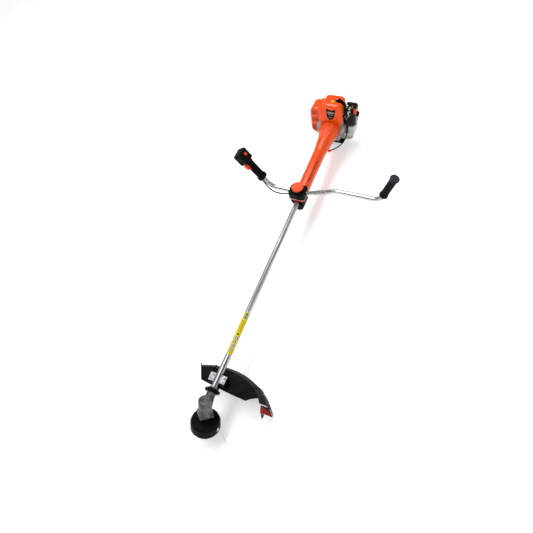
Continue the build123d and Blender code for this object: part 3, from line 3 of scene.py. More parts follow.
import bpy
import numpy as np
from mathutils import Matrix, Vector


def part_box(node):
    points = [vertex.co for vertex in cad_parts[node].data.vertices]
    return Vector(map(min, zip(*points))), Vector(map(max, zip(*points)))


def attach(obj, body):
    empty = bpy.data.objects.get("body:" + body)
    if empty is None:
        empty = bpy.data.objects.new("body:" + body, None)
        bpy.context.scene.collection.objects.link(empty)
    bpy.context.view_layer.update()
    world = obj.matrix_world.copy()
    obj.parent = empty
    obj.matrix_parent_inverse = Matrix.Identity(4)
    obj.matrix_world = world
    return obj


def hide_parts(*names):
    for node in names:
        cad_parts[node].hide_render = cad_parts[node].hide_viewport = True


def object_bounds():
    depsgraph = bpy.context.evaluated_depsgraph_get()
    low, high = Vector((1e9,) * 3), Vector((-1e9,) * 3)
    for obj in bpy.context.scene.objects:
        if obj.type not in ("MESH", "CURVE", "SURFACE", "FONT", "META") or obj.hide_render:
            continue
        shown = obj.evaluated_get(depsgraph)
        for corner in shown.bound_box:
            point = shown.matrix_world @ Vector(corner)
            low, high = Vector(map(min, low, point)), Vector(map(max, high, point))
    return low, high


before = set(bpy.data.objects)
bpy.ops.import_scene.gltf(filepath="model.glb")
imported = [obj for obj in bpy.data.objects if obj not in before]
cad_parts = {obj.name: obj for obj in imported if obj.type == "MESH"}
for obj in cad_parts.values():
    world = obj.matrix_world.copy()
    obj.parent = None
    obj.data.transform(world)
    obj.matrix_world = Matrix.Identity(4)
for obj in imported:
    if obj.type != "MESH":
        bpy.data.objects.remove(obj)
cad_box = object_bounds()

# ---- camera, light and floor ----
# The trimmer lies head down to the left of the view, seen from above its right side.
# A large soft panel overhead and a smaller one at the side light it over a plain white floor.


def standing(right, up, back, place):
    """Matrix of a camera or lamp at a place, facing against back, from its three unit axes."""
    axes = np.stack((right, up, back), 1)
    return Matrix([(*row, at) for row, at in zip(axes, place)] + [(0, 0, 0, 1)])


eye = np.array((0.652, -1.821, 1.870))
turn, climb, tilt = (math.radians(angle) for angle in (37.8, 58.4, -18.0))
backward = np.array((math.sin(turn) * math.cos(climb), -math.cos(turn) * math.cos(climb), math.sin(climb)))
level = np.array((math.cos(turn), math.sin(turn), 0.0))
upright = np.cross(backward, level)
right = math.cos(tilt) * level + math.sin(tilt) * upright
up = -math.sin(tilt) * level + math.cos(tilt) * upright
camera = bpy.data.objects.new("camera", bpy.data.cameras.new("camera"))
camera.data.sensor_width = 36.0
camera.data.lens = 30.43
camera.matrix_world = standing(right, up, backward, eye)
bpy.context.collection.objects.link(camera)
bpy.context.scene.camera = camera
bpy.context.scene.view_settings.view_transform = "Standard"


class Socket:
    """One output of a shader node. Sums, products and comparisons of it add Math nodes."""

    def __init__(self, tree, link=None):
        self.tree = tree
        self.link = link

    def make(self, kind, values=(), out=0, stops=None, **settings):
        """Adds a node: its settings and ramp stops first, then the values or links of its sockets."""
        node = self.tree.nodes.new("ShaderNode" + kind)
        for name, setting in settings.items():
            setattr(node, name, setting)
        if stops:
            while len(node.color_ramp.elements) < len(stops):
                node.color_ramp.elements.new(0.5)
            for element, (position, colour) in zip(node.color_ramp.elements, stops):
                element.position = position
                element.color = colour
        for name, value in dict(values).items():
            if isinstance(value, Socket):
                self.tree.links.new(value.link, node.inputs[name])
            else:
                node.inputs[name].default_value = value
        return Socket(self.tree, node.outputs[out] if len(node.outputs) else None)

    def worked(self, operation, *others):
        """A Math node of this value, alone or with one other."""
        return self.make("Math", dict(enumerate((self, *others))), operation=operation)

    def __add__(self, other):
        return self.worked("ADD", other)

    __radd__ = __add__

    def __mul__(self, other):
        return self.worked("MULTIPLY", other)

    __rmul__ = __mul__

    def __sub__(self, other):
        return self.worked("SUBTRACT", other)

    def __rsub__(self, other):
        return self.make("Math", {0: other, 1: self}, operation="SUBTRACT")

    def __gt__(self, other):
        return self.worked("GREATER_THAN", other)

    def __lt__(self, other):
        return self.worked("LESS_THAN", other)

    def mod(self, size):
        return self.worked("FLOORED_MODULO", size)

    def axes(self):
        return [self.make("SeparateXYZ", {0: self}, out=k) for k in range(3)]

    def fade(self, low, high):
        """Smooth step from 0 at low to 1 at high."""
        return self.make("MapRange", {0: self, 1: low, 2: high}, interpolation_type="SMOOTHSTEP")

    def within(self, low, high):
        return (self > low) * (self < high)

    def noise(self, scale, detail=3.0):
        return self.make("TexNoise", {"Vector": self, "Scale": scale, "Detail": detail})

    def stretched(self, x, y, z):
        return self.make("Mapping", {"Vector": self, "Scale": (x, y, z)})

    def mix(self, colour, other):
        """This value as the share of the other colour laid over the first."""
        return self.make("Mix", {0: self, 6: colour, 7: other}, out=2, data_type="RGBA")


def colour(red, green, blue):
    return (red, green, blue, 1.0)


def start_finish(name, coordinates="Object"):
    """An empty material and the coordinates that its pattern is worked out from."""
    material = bpy.data.materials.new(name)
    material.use_nodes = True
    material.node_tree.nodes.clear()
    return material, Socket(material.node_tree).make("TexCoord", out=coordinates)


def surface(material, place, base, rough, relief=None, depth=0.001, fixed=()):
    """Closes a finish: colour, roughness and relief on one surface node."""
    values = {"Base Color": base, "Roughness": rough, **dict(fixed)}
    if relief is not None:
        values["Normal"] = place.make("Bump", {"Height": relief, "Distance": depth, "Strength": 1.0})
    place.make("OutputMaterial", {"Surface": place.make("BsdfPrincipled", values)})
    return material


def dress(material, *nodes):
    """Gives finished CAD pieces their material."""
    for name in nodes:
        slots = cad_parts[name].data.materials
        slots.clear()
        slots.append(material)


def add_mesh(name, points, faces):
    """A new mesh piece at the origin, from an array of points and a list of faces."""
    mesh = bpy.data.meshes.new(name)
    mesh.from_pydata([tuple(p) for p in points], [], [tuple(f) for f in faces])
    mesh.update()
    piece = bpy.data.objects.new(name, mesh)
    bpy.context.collection.objects.link(piece)
    return piece


def grid_faces(rows, columns, closed=False):
    """Quads between neighbouring rows and columns of a grid, the columns joined up if closed."""
    steps = columns if closed else columns - 1
    row, column = np.meshgrid(np.arange(rows - 1), np.arange(steps), indexing="ij")
    here, above = row * columns, (row + 1) * columns
    after = (column + 1) % columns
    corners = (here + column, here + after, above + after, above + column)
    return np.stack([corner.ravel() for corner in corners], 1)


floor_low = min(cad_box[0][2], 0.0) - 0.004
floor_half = 40.0
floor_points = np.array([(-1, -1, 0), (1, -1, 0), (1, 1, 0), (-1, 1, 0)]) * floor_half + (0, 0, floor_low)
floor = add_mesh("floor", floor_points, [(0, 1, 2, 3)])
paper, place = start_finish("white_floor")
shade = place.noise(0.8)
paper_tone = shade.mix(colour(0.90, 0.90, 0.90), colour(0.92, 0.92, 0.92))
surface(paper, place, paper_tone, 0.9,
        fixed={"Specular IOR Level": 0.0, "Emission Color": colour(1.0, 1.0, 1.0), "Emission Strength": 0.45})
floor.data.materials.append(paper)

world = bpy.data.worlds.new("studio")
bpy.context.scene.world = world
world.use_nodes = True
world.node_tree.nodes.clear()
sky = Socket(world.node_tree)
height = sky.make("TexCoord", out="Generated").axes()[2]
glow = height.make("ValToRGB", {0: height * 0.5 + 0.5}, stops=[
    (0.0, colour(0.9, 0.9, 0.9)), (0.5, colour(0.90, 0.90, 0.90)), (0.60, colour(0.45, 0.45, 0.45)),
    (1.0, colour(0.36, 0.36, 0.36))])
sky_light = sky.make("Background", {"Color": glow, "Strength": 0.80})
sky.make("OutputWorld", {"Surface": sky_light})


def soft_panel(name, place, target, width, length, power):
    """A rectangular area light that faces its target, its length along the tube."""
    lamp = bpy.data.lights.new(name, "AREA")
    lamp.shape = "RECTANGLE"
    lamp.size = width
    lamp.size_y = length
    lamp.energy = power
    panel = bpy.data.objects.new(name, lamp)
    back = np.array(place, float) - np.array(target, float)
    back /= np.linalg.norm(back)
    side = np.cross((0.0, 1.0, 0.0), back)
    side /= np.linalg.norm(side)
    panel.matrix_world = standing(side, np.cross(back, side), back, place)
    bpy.context.collection.objects.link(panel)


soft_panel("key_panel", (-1.0, -0.3, 3.4), (0.0, -0.8, 0.1), 0.9, 4.5, 110.0)
soft_panel("side_panel", (2.6, -2.6, 1.8), (0.0, -0.8, 0.1), 0.5, 3.0, 16.0)

# ---- trimmer line ----
# The free end of the cutting line: round extruded nylon, 2.7 mm thick and cut off square by the
# knife. It leaves the head's eyelet straight out and droops under its own weight.
line_diameter = 0.0027
line_low, line_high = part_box("trimmer_line")
line_start = np.array((line_low[0] + 0.0003, line_high[1] - 0.0013, line_high[2] - 0.0013))
line_reach = np.outer((0.0, 0.24, 0.50, 0.74, 0.92, 1.0), (0.0416, -0.0050, 0.0030))
line_droop = np.outer((0.0, 0.02, 0.16, 0.42, 0.74, 1.0), (0.0, -0.0330, -0.0549))
line_points = line_start + line_reach + line_droop
line_curve = bpy.data.curves.new("line_end", "CURVE")
line_curve.dimensions = "3D"
line_curve.bevel_depth = line_diameter / 2
line_curve.bevel_resolution = 6
line_curve.resolution_u = 24
line_curve.use_fill_caps = True
spline = line_curve.splines.new("NURBS")
spline.points.add(len(line_points) - 1)
weights = np.ones((len(line_points), 1))
spline.points.foreach_set("co", np.hstack((line_points, weights)).ravel())
spline.order_u = 3
spline.use_endpoint_u = True
line_end = bpy.data.objects.new("line_end", line_curve)
bpy.context.collection.objects.link(line_end)
nylon, place = start_finish("line_nylon_finish")
draw_marks = place.noise(1800.0)
nylon_tone = draw_marks.mix(colour(0.55, 0.55, 0.57), colour(0.68, 0.68, 0.70))
surface(nylon, place, nylon_tone, 0.35 + 0.15 * draw_marks, draw_marks, 0.00006)
line_curve.materials.append(nylon)
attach(line_end, "line_head")
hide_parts("trimmer_line")

# ---- main tube and handlebar tube ----
# Drawn aluminium tubes, polished along their length, so fine bright and dark streaks run that way; their
# strong dark and bright colour is partly painted reflection.
# The handlebar is the same stock, bent cold; its streaks follow the coarse direction of each run.


def polished(name, streaks):
    """Bright metal with drawing lines: noise stretched along the tube tints and roughens it; the dark and
    bright streaks in its colour are partly painted reflection.
    """
    material, place = start_finish(name)
    fine = place.stretched(*streaks).noise(1.0, 4.0)
    broad = place.stretched(*(s * 0.3 for s in streaks)).noise(1.0, 2.0)
    spots = place.noise(9.0, 4.0)
    # painted reflection: the dark and bright stops paint reflection streaks along the tube as well as drawing
    # lines
    tone = fine.make("ValToRGB", {0: fine * 0.6 + broad * 0.4}, stops=[
        (0.38, colour(0.13, 0.13, 0.135)), (0.48, colour(0.40, 0.40, 0.41)), (0.60, colour(0.86, 0.86, 0.87))])
    rough = 0.20 + 0.22 * fine + 0.08 * spots
    return surface(material, place, tone, rough, fine, 0.00008, {"Metallic": 1.0})


dress(polished("drawn_tube", (420.0, 5.0, 420.0)), "main_tube")
dress(polished("bent_bar", (6.0, 420.0, 420.0)), "handlebar_tube")

# ---- drive line, gears and other turned steel ----
# The shafts, drum and rod are turned and ground steel with a film of oil. The bevel gears and
# clutch shoes are hardened darker and the muffler is scorched. The tube's bushes are bronze.


def machined(name, dark, bright, rough):
    """Turned steel: fine mottling over the ground colour, with faint tool marks as relief."""
    material, place = start_finish(name)
    marks = place.noise(700.0, 4.0)
    film = place.noise(60.0, 3.0)
    tone = film.fade(0.35, 0.65).mix(dark, bright)
    return surface(material, place, tone, rough + 0.18 * marks, marks, 0.00005, {"Metallic": 1.0})


turned_steel = machined("turned_steel", colour(0.42, 0.42, 0.43), colour(0.60, 0.60, 0.61), 0.24)
hard_steel = machined("hardened_steel", colour(0.20, 0.20, 0.21), colour(0.33, 0.33, 0.34), 0.30)
sintered_bronze = machined("sintered_bronze", colour(0.42, 0.27, 0.12), colour(0.58, 0.42, 0.22), 0.38)
dress(turned_steel, "drive_shaft", "clutch_drum", "ball_bearings", "head_spring", "line_eyelets", "crankshaft",
      "connecting_rod", "spark_plug")
scorched_steel = machined("scorched_steel", colour(0.03, 0.026, 0.024), colour(0.09, 0.075, 0.065), 0.55)
dress(scorched_steel, "muffler")
dress(hard_steel, "input_pinion", "output_gear", "clutch_shoes", "cap_screws", "starter_reel")
dress(sintered_bronze, "shaft_bushings")

# ---- gear case and the engine's castings ----
# Die-cast aluminium, left as cast: a matt grey skin with a pebbled grain, stained darker where
# oil and dust settle. The gear case is the darker of the two, as it runs close to the ground.


def cast(name, dark, bright, rough):
    """Cast skin: grain as relief, and slow stains that darken it."""
    material, place = start_finish(name)
    grain = place.noise(520.0, 3.0)
    stain = place.noise(38.0, 4.0)
    tone = (stain * 0.7 + grain * 0.3).fade(0.34, 0.64).mix(dark, bright)
    return surface(material, place, tone, rough + 0.2 * grain, grain, 0.00035, {"Metallic": 0.75})


gear_case_skin = cast("gear_case_skin", colour(0.045, 0.045, 0.045), colour(0.17, 0.17, 0.168), 0.38)
engine_skin = cast("engine_skin", colour(0.13, 0.13, 0.13), colour(0.34, 0.34, 0.335), 0.38)
dress(gear_case_skin, "gear_case")
dress(engine_skin, "fan_housing", "crankcase", "cylinder", "piston", "flywheel", "carburettor")

# ---- line head, guard and the other black mouldings ----
# Glass-filled nylon from steel moulds: satin black with a fine spark-eroded grain and a few pale
# scuffs. The knife carrier let into the guard's tail is the same nylon, coloured dark red.


def moulded(name, base, scuff, rough, grain_scale=900.0, grain_depth=0.00012, coat=0.0, shine=0.07):
    """Moulded plastic: fine grain as relief, slow cloudiness and light scuffs in the colour."""
    material, place = start_finish(name)
    grain = place.noise(grain_scale, 3.0)
    cloud = place.noise(26.0, 4.0)
    wear = place.stretched(160.0, 30.0, 90.0).noise(1.0, 5.0).fade(0.66, 0.80)
    tone = (wear * 0.35 + cloud * 0.12).mix(base, scuff)
    return surface(material, place, tone, rough + 0.14 * grain + 0.08 * cloud, grain, grain_depth,
                   {"Specular IOR Level": shine, "Coat Weight": coat, "Coat Roughness": 0.12})


head_black = moulded("head_black", colour(0.0015, 0.0015, 0.0016), colour(0.012, 0.012, 0.013), 0.42)
dress(head_black, "head_body", "bump_knob", "line_spool", "guard_bracket")
carrier_red, place = start_finish("carrier_red")
x, y, z = place.axes()
grain = place.noise(900.0)
cloud = place.noise(60.0, 3.0)
low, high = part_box("knife_cover")
parting_slope, parting_rise = 0.46, 0.014
red_side = z + (x - high[0]) * parting_slope < low[2] + parting_rise
red_tone = cloud.mix(colour(0.24, 0.003, 0.002), colour(0.34, 0.008, 0.006))
carrier_tone = red_side.mix(colour(0.002, 0.002, 0.002), red_tone)
surface(carrier_red, place, carrier_tone, 0.34 + 0.15 * grain, grain, 0.00012, {"Specular IOR Level": 0.12})
dress(carrier_red, "knife_cover")

guard_black, place = start_finish("guard_black")
x, y, z = place.axes()
grain = place.noise(900.0)
cloud = place.noise(18.0, 4.0)
black_tone = cloud.fade(0.45, 0.75).mix(colour(0.0015, 0.0015, 0.0016), colour(0.007, 0.007, 0.0075))
surface(guard_black, place, black_tone, 0.40 + 0.15 * grain + 0.1 * cloud,
        grain + cloud * 2.0, 0.0003, {"Specular IOR Level": 0.08})
dress(guard_black, "debris_guard")

# ---- line knife and guard clamp plates ----
# The knife is a stamped, blackened steel leaf, ground bare in the middle. The guard is clamped up
# by two light zinc-plated plates whose faces carry a pressed diamond pattern.
knife_steel, place = start_finish("knife_steel")
low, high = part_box("line_knife")
x, y, z = place.axes()
off_x = x - (low[0] + high[0]) / 2
off_y = y - (low[1] + high[1]) / 2 - 0.006
ground = (off_x * off_x + off_y * off_y).fade(0.00022, 0.00005)
scratch = place.stretched(40.0, 900.0, 40.0).noise(1.0)
knife_tone = (ground * (0.5 + 0.5 * scratch)).mix(colour(0.012, 0.012, 0.013), colour(0.24, 0.24, 0.25))
surface(knife_steel, place, knife_tone, 0.30 + 0.25 * scratch, scratch, 0.0001, {"Metallic": 0.6})
dress(knife_steel, "line_knife")

plate_zinc, place = start_finish("plate_zinc")
x, y, z = place.axes()
pitch = 0.0048
ridge_width = pitch * 0.22
ridge = ((x + y).mod(pitch) < ridge_width) + ((x - y).mod(pitch) < ridge_width)
mottle = place.noise(300.0)
marks = place.stretched(110.0, 170.0, 110.0).noise(1.0, 1.0).fade(0.56, 0.62)
zinc = mottle.mix(colour(0.42, 0.42, 0.45), colour(0.62, 0.62, 0.65))
surface(plate_zinc, place, (marks * 0.8).mix(zinc, colour(0.03, 0.03, 0.032)), 0.34 + 0.2 * mottle,
        ridge + mottle * 0.4, 0.0005, {"Metallic": 0.5})
dress(plate_zinc, "guard_clamp_plates")

# ---- label sleeve on the tube ----
# A yellow plastic film wrapped once round the tube above the guard. It is printed with plain round
# signs, a small warning triangle and rows of unreadable marks; an orange rule closes its right edge.
tube_low, tube_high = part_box("main_tube")
tube_axis = (tube_low[2] + tube_high[2]) / 2
tube_r = (tube_high[0] - tube_low[0]) / 2
handle_y = (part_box("bar_clamp")[0][1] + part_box("bar_clamp")[1][1]) / 2
sleeve_start = handle_y - 0.848
sleeve_length = 0.197
sleeve_t = 0.0004
sleeve_turns = 96
sleeve_rows = 60


def tube_sleeve(name, radius, start, length):
    """Cylinder round the tube: x = r sin a, z = axis + r cos a, y even. UV is arc r a and length."""
    angle = np.linspace(-np.pi, np.pi, sleeve_turns + 1)
    run = np.linspace(0.0, length, sleeve_rows)
    run, angle = np.meshgrid(run, angle, indexing="ij")
    points = np.stack((radius * np.sin(angle), start + run, tube_axis + radius * np.cos(angle)), -1)
    faces = grid_faces(sleeve_rows, sleeve_turns + 1)[:, ::-1]
    piece = add_mesh(name, points.reshape(-1, 3), faces)
    flat = np.stack((angle * radius, run), -1).reshape(-1, 2)
    layer = piece.data.uv_layers.new(name="sleeve_map")
    order = np.empty(len(piece.data.loops), int)
    piece.data.loops.foreach_get("vertex_index", order)
    layer.data.foreach_set("uv", flat[order].ravel())
    return piece


sleeve = tube_sleeve("label_sleeve", tube_r + 0.0002, sleeve_start, sleeve_length)
skin = sleeve.modifiers.new("film", "SOLIDIFY")
skin.thickness = sleeve_t
skin.offset = 1.0
film, place = start_finish("label_film", "UV")
across, along, _ = place.axes()
print_middle = 0.0047
across = across - print_middle
dust = place.noise(260.0, 4.0)
film_colour = dust.mix(colour(0.84, 0.66, 0.003), colour(0.72, 0.55, 0.003))


def disc(middle, radius):
    """1 inside a printed disc at that length along the sleeve."""
    return across * across + (along - middle) * (along - middle) < radius * radius


ringed_signs = (0.020, 0.038, 0.056, 0.074)
plain_signs = (0.172, 0.187)
for middle in ringed_signs + plain_signs:
    film_colour = disc(middle, 0.0066).mix(film_colour, colour(0.010, 0.16, 0.46))
for middle in ringed_signs:
    film_colour = disc(middle, 0.0030).mix(film_colour, colour(0.78, 0.82, 0.86))
triangle_foot, triangle_height = 0.089, 0.011
leaning = across.worked("ABSOLUTE") * 1.7 + (along - triangle_foot) < triangle_height
triangle = along.within(triangle_foot, triangle_foot + triangle_height) * leaning
film_colour = triangle.mix(film_colour, colour(0.02, 0.018, 0.012))
print_and_highlight_marks = place.stretched(620.0, 260.0, 1.0).noise(1.0, 1.0) > 0.48
rows = (along - 0.107).mod(0.0075) < 0.0042
lines = print_and_highlight_marks * rows * along.within(0.107, 0.160) * across.within(-0.0075, 0.0072)
film_colour = lines.mix(film_colour, colour(0.20, 0.10, 0.01))
foot_marks = print_and_highlight_marks * along.within(0.005, 0.011) * across.within(-0.005, 0.005)
film_colour = foot_marks.mix(film_colour, colour(0.36, 0.06, 0.01))
rule = across.within(0.0098, 0.0112)
film_colour = rule.mix(film_colour, colour(0.72, 0.22, 0.01))
surface(film, place, film_colour, 0.34 + 0.2 * dust, dust, 0.00008, {"Specular IOR Level": 0.25})
sleeve.data.materials.append(film)
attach(sleeve, "engine_and_tube")

# ---- handle clamp, knob and its bands ----
# The bracket and clamp block are black nylon; the scalloped knob and the swivel ring under the
# clamp are orange, and a thin grey steel washer lies between clamp and ring.
clamp_black = moulded("clamp_black", colour(0.002, 0.002, 0.0021), colour(0.014, 0.014, 0.015), 0.36)
dress(clamp_black, "bar_clamp", "handle_bracket")
signal_orange = moulded("knob_orange", colour(0.84, 0.066, 0.004), colour(0.88, 0.12, 0.02), 0.30,
                        grain_scale=1100.0, grain_depth=0.00006, coat=0.1, shine=0.25)
dress(signal_orange, "throttle_trigger", "trigger_lockout", "stop_switch")
knob_two_tone, place = start_finish("knob_two_tone")
x, y, z = place.axes()
grain = place.noise(1100.0)
cap_depth = 0.009
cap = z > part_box("clamp_knob")[1][2] - cap_depth
knob_tone = grain.mix(colour(0.84, 0.072, 0.004), colour(0.90, 0.10, 0.008))
two_tone = cap.mix(colour(0.002, 0.002, 0.002), knob_tone)
surface(knob_two_tone, place, two_tone, 0.34 + 0.15 * grain, grain, 0.00006, {"Specular IOR Level": 0.2})
dress(knob_two_tone, "clamp_knob")


def rounded_band(name, half_x, half_y, corner, low, high, wall):
    """Band round a rounded rectangle: x = s (half - c) + c cos a, y alike with sin a, s the side's sign.

    Its four rings, two outside and two inside, close on themselves."""
    turns = 96
    angle = np.linspace(0.0, 2 * np.pi, turns, endpoint=False)
    rings = []
    for grow, height in ((0.0, low), (0.0, high), (-wall, high), (-wall, low)):
        x = np.sign(np.cos(angle)) * (half_x - corner) + (corner + grow) * np.cos(angle)
        y = np.sign(np.sin(angle)) * (half_y - corner) + (corner + grow) * np.sin(angle)
        rings.append(np.stack((x, y + handle_y, np.full_like(x, height)), -1))
    faces = grid_faces(len(rings) + 1, turns, closed=True) % (len(rings) * turns)
    return add_mesh(name, np.concatenate(rings), faces)


clamp_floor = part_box("bar_clamp")[0][2]
swivel_ring = rounded_band("swivel_ring", 0.0400, 0.0330, 0.014,
                           clamp_floor - 0.0110, clamp_floor - 0.0031, 0.0045)
swivel_ring.data.materials.append(signal_orange)
washer = rounded_band("swivel_washer", 0.0415, 0.0340, 0.015,
                      clamp_floor - 0.0030, clamp_floor - 0.0006, 0.006)
washer_steel = machined("washer_steel", colour(0.30, 0.30, 0.31), colour(0.48, 0.48, 0.5), 0.3)
washer.data.materials.append(washer_steel)
for piece, slot in ((swivel_ring, "orange_small"), (washer, "steel")):
    edge = piece.modifiers.new("edge", "BEVEL")
    edge.width = 0.0004
    edge.segments = 2
    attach(piece, "engine_and_tube")

# ---- grips and the front throttle cable ----
# Both throttle grip halves are black nylon. The plain grip on the right is soft rubber with rows of
# fine ribs and a smoother dark grey end disc. The cable sheath is extruded black plastic.
grip_black = moulded("grip_black", colour(0.0018, 0.0018, 0.0019), colour(0.013, 0.013, 0.014), 0.44,
                     grain_scale=620.0, grain_depth=0.0003)
dress(grip_black, "throttle_grip_left", "throttle_grip_right")
grip_rubber, place = start_finish("grip_rubber")
low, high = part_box("plain_grip")
x, y, z = place.axes()
pebble = place.make("TexVoronoi", {"Vector": place, "Scale": 420.0})
shade = place.noise(90.0)
far_end = high[2] * 0.6 + high[1] * 0.3
end_disc = (z * 0.6 + y * 0.3).fade(far_end - 0.024, far_end - 0.012)
rubber_tone = shade.mix(colour(0.002, 0.002, 0.002), colour(0.007, 0.007, 0.007))
grip_tone = end_disc.mix(rubber_tone, colour(0.040, 0.045, 0.052))
surface(grip_rubber, place, grip_tone, 0.55 + 0.2 * shade, pebble, 0.0005, {"Specular IOR Level": 0.08})
dress(grip_rubber, "plain_grip")
sheath_black = moulded("sheath_black", colour(0.002, 0.002, 0.002), colour(0.010, 0.010, 0.010), 0.30,
                       grain_scale=1500.0, grain_depth=0.00005)
dress(sheath_black, "front_throttle_cable", "rear_throttle_cable")

# ---- rear housing ----
# The long orange moulding over the tube's rear end, smooth and glossy, with shallow flutes fanning
# out to the engine flange and a printed strip of plain dark dashes along its right shoulder.
cone_orange, place = start_finish("cone_orange")
x, y, z = place.axes()
flange_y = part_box("rear_housing")[1][1]
flute_count = 13.0
flutes = (x.worked("ARCTAN2", z - tube_axis) * flute_count).worked("COSINE")
fluted = y.fade(flange_y - 0.120, flange_y - 0.030)
grain = place.noise(140.0)
cloud = place.noise(12.0, 4.0)
shade_orange = cloud.fade(0.3, 0.7).mix(colour(0.80, 0.066, 0.003), colour(0.90, 0.088, 0.004))
strip = x.within(0.0145, 0.0205) * y.within(handle_y + 0.085, handle_y + 0.228) * (z > tube_axis)
dashes = place.stretched(420.0, 150.0, 60.0).noise(1.0, 1.0) > 0.44
printed = (strip * dashes * 0.85).mix(shade_orange, colour(0.030, 0.026, 0.026))
surface(cone_orange, place, printed, 0.20 + 0.08 * cloud, flutes * fluted + grain * 0.012, 0.0026,
        {"Coat Weight": 0.12, "Coat Roughness": 0.08, "Specular IOR Level": 0.22})
dress(cone_orange, "rear_housing")
soft_rubber = moulded("soft_rubber", colour(0.002, 0.002, 0.002), colour(0.010, 0.010, 0.010), 0.58,
                      grain_scale=700.0, grain_depth=0.0003)
dress(soft_rubber, "front_damper", "ignition_module", "primer_bulb")

# ---- engine cover and its badge ----
# A glossy orange moulding, painted darker low on its flanks as painted shade. A black shield badge with grey
# printed bars is let into the front and a small sticker lies on top.
cover_low, cover_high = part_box("engine_cover")


def gloss_orange(name, low, high, painted_inside_shade=None):
    """Glossy moulding, painted darker below low and full above high as painted shade, with faint flow lines as
    relief.

    The low and high corners of the piece's box, if given, paint the faces n (p - middle) < 0 turned
    inward near black: painted shade inside the cover."""
    material, place = start_finish(name)
    x, y, z = place.axes()
    cloud = place.noise(14.0, 4.0)
    fine = place.noise(160.0)
    # painted shade: the colour darkens towards the bottom of the piece
    painted_shade_fade = z.fade(low, high)
    tone = painted_shade_fade.mix(colour(0.52, 0.030, 0.002), colour(0.90, 0.084, 0.004))
    if painted_inside_shade:
        normal = Socket(material.node_tree).make("TexCoord", out="Normal")
        middle = tuple((a + b) / 2 for a, b in zip(*painted_inside_shade))
        outward = place.make("VectorMath", {0: place, 1: middle}, operation="SUBTRACT")
        facing = place.make("VectorMath", {0: normal, 1: outward}, out="Value", operation="DOT_PRODUCT")
        # painted shade: faces turned inward are painted near black
        tone = (facing < -0.004).mix(tone, colour(0.004, 0.003, 0.003))
    tone = (cloud.fade(0.5, 0.8) * 0.2).mix(tone, colour(0.92, 0.10, 0.006))
    return surface(material, place, tone, 0.17 + 0.08 * cloud + 0.03 * fine, fine + cloud, 0.00035,
                   {"Coat Weight": 0.2, "Coat Roughness": 0.05, "Specular IOR Level": 0.25})


dress(gloss_orange("cover_orange", cover_low[2] - 0.01, cover_low[2] + 0.05), "engine_cover")
badge_top = cover_high[2] - 0.017
badge_bottom = badge_top - 0.060
badge_middle = 0.0055
lean_start = cover_low[2] + 0.040
lean_rate = 0.018 / (cover_high[2] - lean_start)


def shield(name, half, top, bottom, proud):
    """Shield on the cover's leaning front: x = half u (1 - 0.24 v) sqrt(1 - v^5), v from 0 down to 1.

    The top edge dips by 8 mm (1 - u^2) and y follows the front's lean, standing proud of it."""
    columns, rows = 33, 41
    across, down = np.meshgrid(np.linspace(-1.0, 1.0, columns), np.linspace(0.0, 0.985, rows), indexing="ij")
    width = half * (1.0 - 0.24 * down) * np.sqrt(np.clip(1.0 - down ** 5, 0.0, 1.0))
    dip = 0.008 * (1.0 - across ** 2) * (1.0 - down)
    z = top - (top - bottom) * down - dip
    x = badge_middle + width * across
    y = cover_low[1] + np.clip(z - lean_start, 0.0, None) * lean_rate - proud
    points = np.stack((x, y, z), -1).reshape(-1, 3)
    piece = add_mesh(name, points, grid_faces(columns, rows))
    wall = piece.modifiers.new("wall", "SOLIDIFY")
    wall.thickness = 0.0012
    wall.offset = -1.0
    return piece


badge = shield("cover_badge", 0.0250, badge_top, badge_bottom, 0.0007)
badge_black, place = start_finish("badge_black")
x, y, z = place.axes()
speck = place.noise(500.0)
bars = place.stretched(330.0, 1.0, 200.0).noise(1.0, 1.0) > 0.5
first = z.within(badge_top - 0.026, badge_top - 0.016) * x.within(badge_middle - 0.018, badge_middle + 0.018)
second = z.within(badge_top - 0.035, badge_top - 0.029) * x.within(badge_middle - 0.011, badge_middle + 0.012)
third = z.within(badge_top - 0.049, badge_top - 0.044) * x.within(badge_middle - 0.008, badge_middle + 0.010)
print_grey = (bars * (first + second + third)).mix(colour(0.0015, 0.0015, 0.0016), colour(0.42, 0.42, 0.44))
surface(badge_black, place, print_grey, 0.30 + 0.1 * speck, speck, 0.00005, {"Specular IOR Level": 0.10})
badge.data.materials.append(badge_black)
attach(badge, "engine_and_tube")

sticker_half = 0.0075
sticker_x, sticker_y, sticker_z = 0.005, cover_low[1] + 0.050, cover_high[2] + 0.0003
sticker_steps = 13
steps = np.linspace(-1, 1, sticker_steps)
u, v = np.meshgrid(steps, steps, indexing="ij")
sheet = (sticker_x + sticker_half * u, sticker_y + sticker_half * v, np.full_like(u, sticker_z))
sticker = add_mesh("top_sticker", np.stack(sheet, -1).reshape(-1, 3), grid_faces(sticker_steps, sticker_steps))
sheet_wall = sticker.modifiers.new("wall", "SOLIDIFY")
sheet_wall.thickness = 0.0003
sheet_wall.offset = -1.0
sticker_film, place = start_finish("sticker_film")
x, y, z = place.axes()
fleck = place.noise(320.0)
off_x, off_y = x - sticker_x - 0.001, y - sticker_y
green = (off_x * off_x + off_y * off_y).fade(0.00003, 0.00001)
yellow = fleck.mix(colour(0.80, 0.62, 0.01), colour(0.66, 0.60, 0.01))
surface(sticker_film, place, green.mix(yellow, colour(0.16, 0.42, 0.02)), 0.3 + 0.1 * fleck)
sticker.data.materials.append(sticker_film)
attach(sticker, "engine_and_tube")

# ---- muffler cover ----
# A second orange moulding, screwed on over the muffler. It is painted a darker, redder orange lower
# down as painted shade, and its inside faces are painted near black as painted shade.
muffler_low, muffler_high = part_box("muffler_cover")
muffler_orange = gloss_orange("muffler_orange", muffler_low[2] - 0.06, muffler_low[2] + 0.09,
                              painted_inside_shade=(muffler_low, muffler_high))
dress(muffler_orange, "muffler_cover")

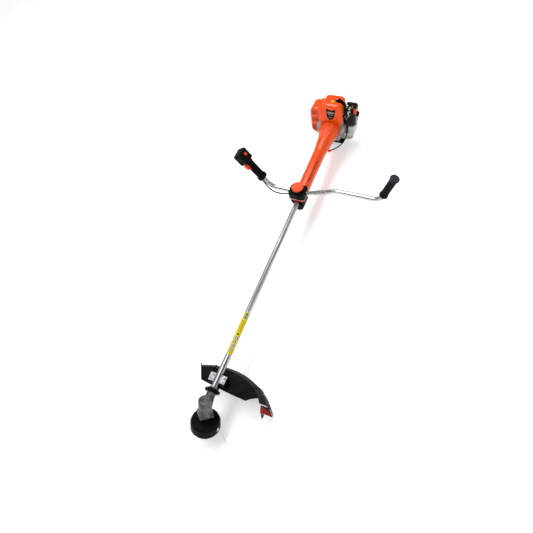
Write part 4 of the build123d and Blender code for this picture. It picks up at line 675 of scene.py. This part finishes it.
# ---- air filter, carburettor controls ----
# The filter cover is a high-gloss black moulding with an orange flash on its outer front corner.
# Behind it are the nylon back plate, the pleated paper element and the choke lever.
gloss_black, place = start_finish("gloss_black_finish")
x, y, z = place.axes()
low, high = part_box("filter_cover")
ripple = place.noise(22.0, 3.0)
fine = place.noise(240.0)
slope = z + (y - low[1]) * 0.9
flash = (x > high[0] - 0.011) * y.within(low[1] + 0.004, low[1] + 0.034)
flash = flash * slope.within(low[2] + 0.100, low[2] + 0.138)
flash_tone = fine.mix(colour(0.70, 0.055, 0.008), colour(0.80, 0.085, 0.015))
black_tone = ripple.mix(colour(0.0012, 0.0012, 0.0013), colour(0.004, 0.004, 0.0045))
# painted highlight: pale streaky marks on the cover's front stand in for highlights on the gloss
marks = place.stretched(150.0, 150.0, 40.0).noise(1.0, 1.0) > 0.52
print_and_highlight_marks = marks * (y < low[1] + 0.006) * x.within(high[0] - 0.040, high[0] - 0.026)
print_and_highlight_marks = print_and_highlight_marks * z.within(low[2] + 0.072, low[2] + 0.124)
black_tone = (print_and_highlight_marks * 0.9).mix(black_tone, colour(0.62, 0.62, 0.64))
surface(gloss_black, place, flash.mix(black_tone, flash_tone), 0.14 + 0.10 * ripple, fine + ripple, 0.0003,
        {"Coat Weight": 0.08, "Coat Roughness": 0.05, "Specular IOR Level": 0.14})
dress(gloss_black, "filter_cover")
dress(head_black, "filter_backplate", "choke_lever", "filter_latch")
filter_paper, place = start_finish("filter_paper_finish")
x, y, z = place.axes()
pleats = (y * 1600.0).worked("SINE")
fibre = place.noise(900.0)
paper_tone = fibre.mix(colour(0.62, 0.54, 0.36), colour(0.74, 0.68, 0.52))
surface(filter_paper, place, paper_tone, 0.85 + 0.1 * fibre, pleats + fibre * 0.3, 0.0008)
dress(filter_paper, "filter_element")

# ---- fuel tank, stand, starter ----
# The tank is blow-moulded natural polyethylene: cloudy grey-white with soft upright ribs and the
# fuel's darker level showing through. Stand, starter housing, cap and pull are black nylon.
tank_skin, place = start_finish("tank_skin")
x, y, z = place.axes()
low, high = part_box("fuel_tank")
ribs = (x * 420.0).worked("SINE")
cloud = place.noise(34.0, 5.0)
above_fuel = (z + cloud * 0.004).fade(low[2] + 0.024, low[2] + 0.030)
tone = cloud.fade(0.3, 0.7).mix(colour(0.44, 0.45, 0.47), colour(0.66, 0.67, 0.69))
tone = (1.0 - above_fuel).mix(tone, colour(0.40, 0.39, 0.36))
surface(tank_skin, place, tone, 0.28 + 0.2 * cloud, ribs * 0.6 + cloud, 0.0012, {"Transmission Weight": 0.12})
dress(tank_skin, "fuel_tank")
stand_black = moulded("stand_black", colour(0.0018, 0.0018, 0.0019), colour(0.013, 0.013, 0.014), 0.46)
dress(stand_black, "tank_stand", "starter_housing", "starter_handle", "fuel_cap")
